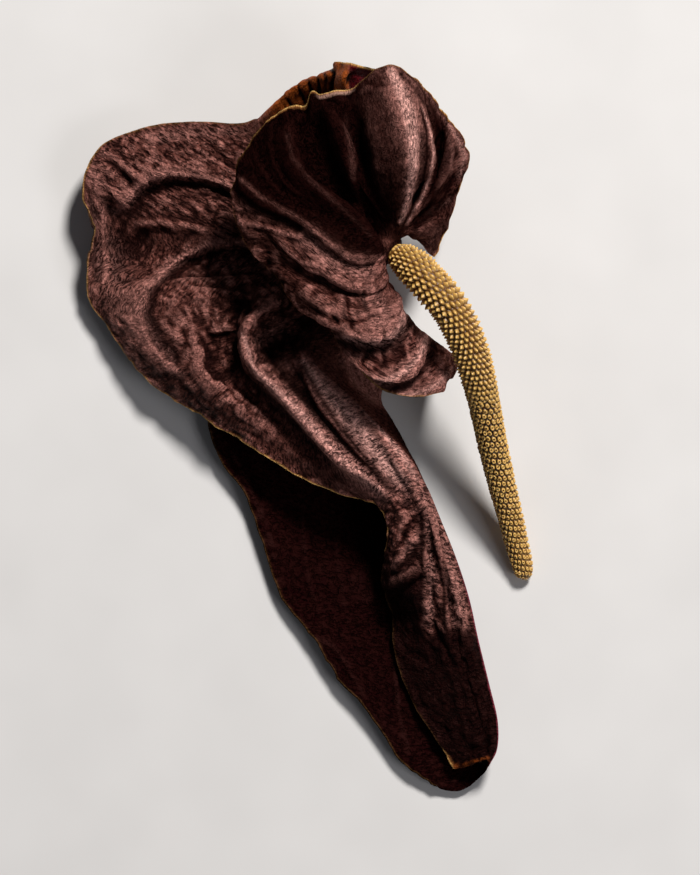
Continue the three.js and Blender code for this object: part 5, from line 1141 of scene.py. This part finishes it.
# The spadix: its florets, the paler ones, its two ends, painted shade in the gaps, and the pale points with
# painted glints and the pits on each floret.
OCHRE = (0.24, 0.094, 0.012)
GOLD = (0.50, 0.24, 0.036)
PALE_GOLD = (0.54, 0.31, 0.075)
TIP_GOLD = (0.80, 0.46, 0.13)
NODE_BROWN = (0.17, 0.066, 0.010)
GAP_SHADE = (0.022, 0.006, 0.0015)
POINT = (1.0, 0.64, 0.19)
PIT = (0.05, 0.018, 0.005)
# The stalk's streaks and the floor.
STALK_DARK = (0.10, 0.042, 0.018)
STALK_LIGHT = (0.27, 0.135, 0.055)
FLOOR_TONES = ((0.68, 0.67, 0.66), (0.72, 0.71, 0.70))


class Shader:
    """A material's nodes, wired from outputs of earlier calls, plain values or colours."""

    def __init__(self, name):
        self.material = bpy.data.materials.new(name)
        self.material.use_nodes = True
        self.tree = self.material.node_tree
        self.surface = self.tree.nodes["Principled BSDF"]

    def add(self, kind, inputs=(), output=0, **settings):
        made = self.tree.nodes.new(kind)
        for label, value in settings.items():
            setattr(made, label, value)
        for place, value in dict(inputs).items():
            self.feed(made.inputs[place], value)
        return made.outputs[output]

    def feed(self, socket, value):
        if isinstance(value, bpy.types.NodeSocket):
            self.tree.links.new(value, socket)
        else:
            socket.default_value = (*value, 1) if socket.type == "RGBA" else value

    def value(self, label):
        return self.add("ShaderNodeAttribute", output="Fac", attribute_name=label)

    def place(self):
        return self.add("ShaderNodeTexCoord", output="Object")

    def noise(self, scale, detail=3, rough=0.6, vector=None, bend=0.0):
        inputs = {"Vector": vector or self.place(), "Scale": scale, "Detail": detail, "Roughness": rough,
                  "Distortion": bend}
        return self.add("ShaderNodeTexNoise", inputs, output="Fac")

    def math(self, what, a, b=0.0):
        return self.add("ShaderNodeMath", {0: a, 1: b}, operation=what)

    def times(self, a, b):
        return self.math("MULTIPLY", a, b)

    def plus(self, a, b):
        return self.math("ADD", a, b)

    def less(self, a, b):
        return self.math("SUBTRACT", a, b)

    def away(self, value, middle, reach):
        """1 at the middle, falling to 0 at a reach from it."""
        return self.between(self.math("ABSOLUTE", self.less(value, middle)), 0.0, reach, 1.0, 0.0)

    def between(self, value, low, high, start=0.0, end=1.0):
        inputs = {"Value": value, "From Min": low, "From Max": high, "To Min": start, "To Max": end}
        return self.add("ShaderNodeMapRange", inputs)

    def vector(self, x, y):
        return self.add("ShaderNodeCombineXYZ", {0: x, 1: y})

    def mix(self, share, a, b):
        return self.add("ShaderNodeMix", {0: share, 6: a, 7: b}, output=2, data_type="RGBA")

    def layered(self, colour, *layers):
        """A colour with layers of (share, colour) laid over it in turn."""
        for share, over in layers:
            colour = self.mix(share, colour, over)
        return colour

    def bump(self, height, strength, distance, normal=None):
        inputs = {"Strength": strength, "Distance": distance * MM, "Height": height}
        if normal is not None:
            inputs["Normal"] = normal
        return self.add("ShaderNodeBump", inputs)

    def finish(self, **inputs):
        for label, value in inputs.items():
            self.feed(self.surface.inputs[label.replace("_", " ")], value)
        return self.material


def hatch(s, vector):
    """Short crisp dents, drawn out along the vector's second axis: 1 on the level, 0 in the dents."""
    return s.between(s.noise(1.0, vector=vector, bend=0.6), 0.41, 0.51)


def wrinkle_height(s):
    """Fine wrinkles along the ribs, or round the lobe, at much the same width everywhere."""
    across, along, spacing = s.value("across"), s.value("along"), s.value("spacing")
    even, rings = s.value("even"), s.value("rings")
    total = 0.0
    for level, per_station in ((0.0, 2.0), (1.5, 5.2), (3.0, 13.0)):
        ribbed = hatch(s, s.vector(s.times(across, per_station), s.times(along, 0.75)))
        total = s.plus(total, s.times(ribbed, s.away(spacing, level, 1.5)))
    turned = {"Vector": s.place(), "Rotation": (0, 0, -math.radians(SLANT)),
              "Scale": (1 / 680, 1 / 2400, 1 / 900)}
    parallel = hatch(s, s.add("ShaderNodeMapping", turned, vector_type="TEXTURE"))
    ringed = hatch(s, s.vector(s.times(across, 3.2), s.times(along, 2.4)))
    rest = s.less(s.less(1.0, even), rings)
    return s.plus(s.plus(s.times(total, rest), s.times(parallel, even)), s.times(ringed, rings))


def sheet_colour(s, crest, wrinkle, web):
    """Brown with lighter crests, part wear and part painted highlight, and painted shade in the hollows, then
    the painted highlights and shade, the dents with painted shade in them, and the cracks.
    """
    painted_highlight = s.value("light")
    return s.layered(
        BROWN,
        (s.between(s.noise(80, 4), 0.35, 0.65), WARM_BROWN),
        # Lighter crests, part wear and part painted highlight, then painted shade in the hollows.
        (s.between(crest, 0.55, 1.0, 0.0, 0.85), CREST_WEAR_AND_HIGHLIGHT),
        (s.between(crest, 0.48, 0.05, 0.0, 0.95), HOLLOW_SHADE),
        # Painted highlights, the strongest ones brightest.
        (s.times(painted_highlight, 0.9), LIT),
        (s.between(painted_highlight, 0.6, 1.0, 0.0, 0.9), BRIGHTEST_HIGHLIGHT),
        (s.value("painted_shade"), s.mix(s.between(crest, 0.4, 1.0), SHADED_HOLLOW, SHADED_CREST)),
        # Reddish painted shade.
        (s.times(s.value("red_shade"), 0.6), SHADE_RED),
        # Painted shade in the dents.
        (s.between(wrinkle, 1.0, 0.0, 0.0, 0.93), DENT_SHADE),
        (s.between(web, 0.3, 1.0, 0.0, 0.6), CRACK))


def painted_glow_colour(s, colour, crest, patchy):
    """The sheet's colour with painted light coming amber through its thin back, painted rim light along its
    midrib, and deep crimson inside its curl.
    """
    thin = s.times(s.between(crest, 0.2, 0.8), s.between(patchy, 0.0, 1.0, 0.4, 1.0))
    return s.layered(
        colour,
        # Painted backlight, amber where the tissue is thin.
        (s.times(s.value("painted_backlight"), 0.92), s.mix(thin, DIM_BACKLIGHT_AMBER, BACKLIGHT_AMBER)),
        # Painted rim light on the midrib.
        (s.times(s.value("midrib_rim_light"), 0.7), RIM_LIGHT_ROSE),
        (s.times(s.value("curl"), 0.95), CURL_RED))


def rim_colour(s, colour):
    """The pale lip, and the painted rim light on the ragged margin, going from orange to yellow."""
    margin, rim = s.value("margin"), s.value("rim")
    ragged = s.between(s.noise(260, rough=0.7), 0.3, 0.7, 0.25, 1.1)
    near = s.math("DIVIDE", margin, ragged)
    return s.layered(
        colour,
        (s.times(s.value("lip"), s.between(margin, 1.2, 0.7, 0.0, 0.8)), PALE_LIP),
        # Painted rim light, orange, then yellow at the very edge.
        (s.times(s.between(near, 1.0, 0.3, 0.0, 0.75), rim), RIM_LIGHT_ORANGE),
        (s.times(s.between(near, 0.5, 0.15, 0.0, 0.9), rim), RIM_LIGHT_YELLOW))


def spathe_material(gloss):
    """Smooth and light on the crests, hatched with dents that get painted shade in the hollows."""
    s = Shader("dried spathe")
    crest = s.value("crest")
    patchy = s.between(s.noise(330, 4), 0.36, 0.62)
    low = s.plus(s.between(crest, 0.8, 0.3, 0.0, 0.65), s.times(s.value("light"), 0.08))
    depth = s.math("MINIMUM", s.plus(s.between(patchy, 0.0, 1.0, 0.22, 0.84), low), 1.0)
    wrinkle = s.less(1.0, s.times(s.less(1.0, wrinkle_height(s)), depth))
    web = s.away(s.noise(620, bend=1.2), 0.5, 0.16)
    colour = sheet_colour(s, crest, wrinkle, web)
    colour = rim_colour(s, painted_glow_colour(s, colour, crest, patchy))
    fine = s.bump(s.noise(1700, rough=0.65, bend=0.6), 0.35, 0.14)
    cracked = s.bump(web, 0.8, -0.2, fine)
    return s.finish(Base_Color=colour, Roughness=s.between(s.noise(300), 0.3, 0.7, 0.42, 0.62),
                    Normal=s.bump(wrinkle, 1.0, 0.6, cracked), Specular_IOR_Level=gloss,
                    Specular_Tint=SHEEN)


def spadix_material():
    """Golden florets with painted shade in the gaps, deep brown pits and pale points with painted glints,
    paler to the tip and browner near the node.
    """
    s = Shader("dried spadix")
    share = s.value("share")
    tip = s.between(share, 0.55, 1.0)
    # Painted shade in the gaps between florets, less towards the tip.
    gap = s.times(s.between(s.value("gap"), 0.9, 0.35, 0.0, 0.97), s.between(tip, 0.0, 1.0, 1.0, 0.7))
    colour = s.layered(
        OCHRE,
        (s.between(s.noise(1500), 0.3, 0.7), GOLD),
        (s.between(s.value("pick"), 0.0, 1.0, 0.0, 0.5), PALE_GOLD),
        (s.times(tip, 0.5), TIP_GOLD),
        (gap, GAP_SHADE),
        (s.between(share, 0.55, 0.3, 0.0, 0.6), NODE_BROWN),
        # Pale rings and prick tips, with painted glints.
        (s.times(s.value("pale_and_glint"), 0.95), POINT),
        (s.times(s.value("pit"), 0.85), PIT))
    return s.finish(Base_Color=colour, Roughness=0.34, Normal=s.bump(s.noise(2600), 0.5, 0.15),
                    Specular_IOR_Level=0.45, Subsurface_Weight=0.06, Subsurface_Scale=0.5 * MM)


def stalk_material():
    s = Shader("dried stalk")
    colour = s.mix(s.between(s.noise(420, 4), 0.3, 0.7), STALK_DARK, STALK_LIGHT)
    grain = s.bump(s.noise(1500), 0.5, 0.2)
    return s.finish(Base_Color=colour, Roughness=0.6, Normal=grain, Specular_IOR_Level=0.15)


def floor_material():
    s = Shader("pale floor")
    colour = s.mix(s.between(s.noise(40, 2, 0.5), 0.3, 0.7), *FLOOR_TONES)
    return s.finish(Base_Color=colour, Roughness=0.85)


# Floor, camera and light

FLOOR_HALF = 3.0
VIEW_HEIGHT = 0.175
VIEW_DISTANCE = 2.0
EYE = (8.543 * MM, -1.813 * MM, VIEW_DISTANCE + 20 * MM)
LIGHT_DISTANCE = 1.2


def floor():
    mesh = bpy.data.meshes.new("floor")
    corners = [(x * FLOOR_HALF, y * FLOOR_HALF, 0) for x, y in ((-1, -1), (1, -1), (1, 1), (-1, 1))]
    mesh.from_pydata(corners, [], [(0, 1, 2, 3)])
    mesh.materials.append(floor_material())
    add_object("floor", mesh)


def camera():
    """Straight above the flower, with a long lens that keeps 5 pixels to a millimetre."""
    data = bpy.data.cameras.new("camera")
    data.sensor_width = 36
    data.lens = data.sensor_width * VIEW_DISTANCE / VIEW_HEIGHT
    data.clip_start = 0.05
    data.clip_end = 20
    eye = add_object("camera", data)
    eye.location = EYE
    bpy.context.scene.camera = eye


def area_light(name, direction, size, power, colour):
    data = bpy.data.lights.new(name, "AREA")
    data.shape = "DISK"
    data.size = size
    data.energy = power
    data.color = colour
    lamp = add_object(name, data)
    towards = Vector(direction).normalized()
    lamp.location = towards * LIGHT_DISTANCE
    lamp.rotation_euler = towards.to_track_quat("Z", "Y").to_euler()
    lamp.visible_camera = False


def light():
    """A key light from beyond the head, a wide fill from the lower right and a dim sky."""
    area_light("key", (0.28, 0.60, 0.75), 0.25, 18, (1.0, 0.97, 0.94))
    area_light("fill", (0.61, -0.35, 0.71), 0.5, 2.4, (0.97, 0.96, 1.0))
    world = bpy.data.worlds.new("studio")
    world.use_nodes = True
    background = world.node_tree.nodes["Background"]
    background.inputs["Color"].default_value = (0.9, 0.92, 1.0, 1)
    background.inputs["Strength"].default_value = 0.06
    bpy.context.scene.world = world
    bpy.context.scene.view_settings.view_transform = "Standard"


camera()
light()
floor()
for pieces, node, slot in ((spathe(), "spathe", "spathe"), ([spadix()], "spadix", "spadix"),
                           ([stalk()], "peduncle", "stalk")):
    for piece in pieces:
        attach(piece, "root")
        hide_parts(node)
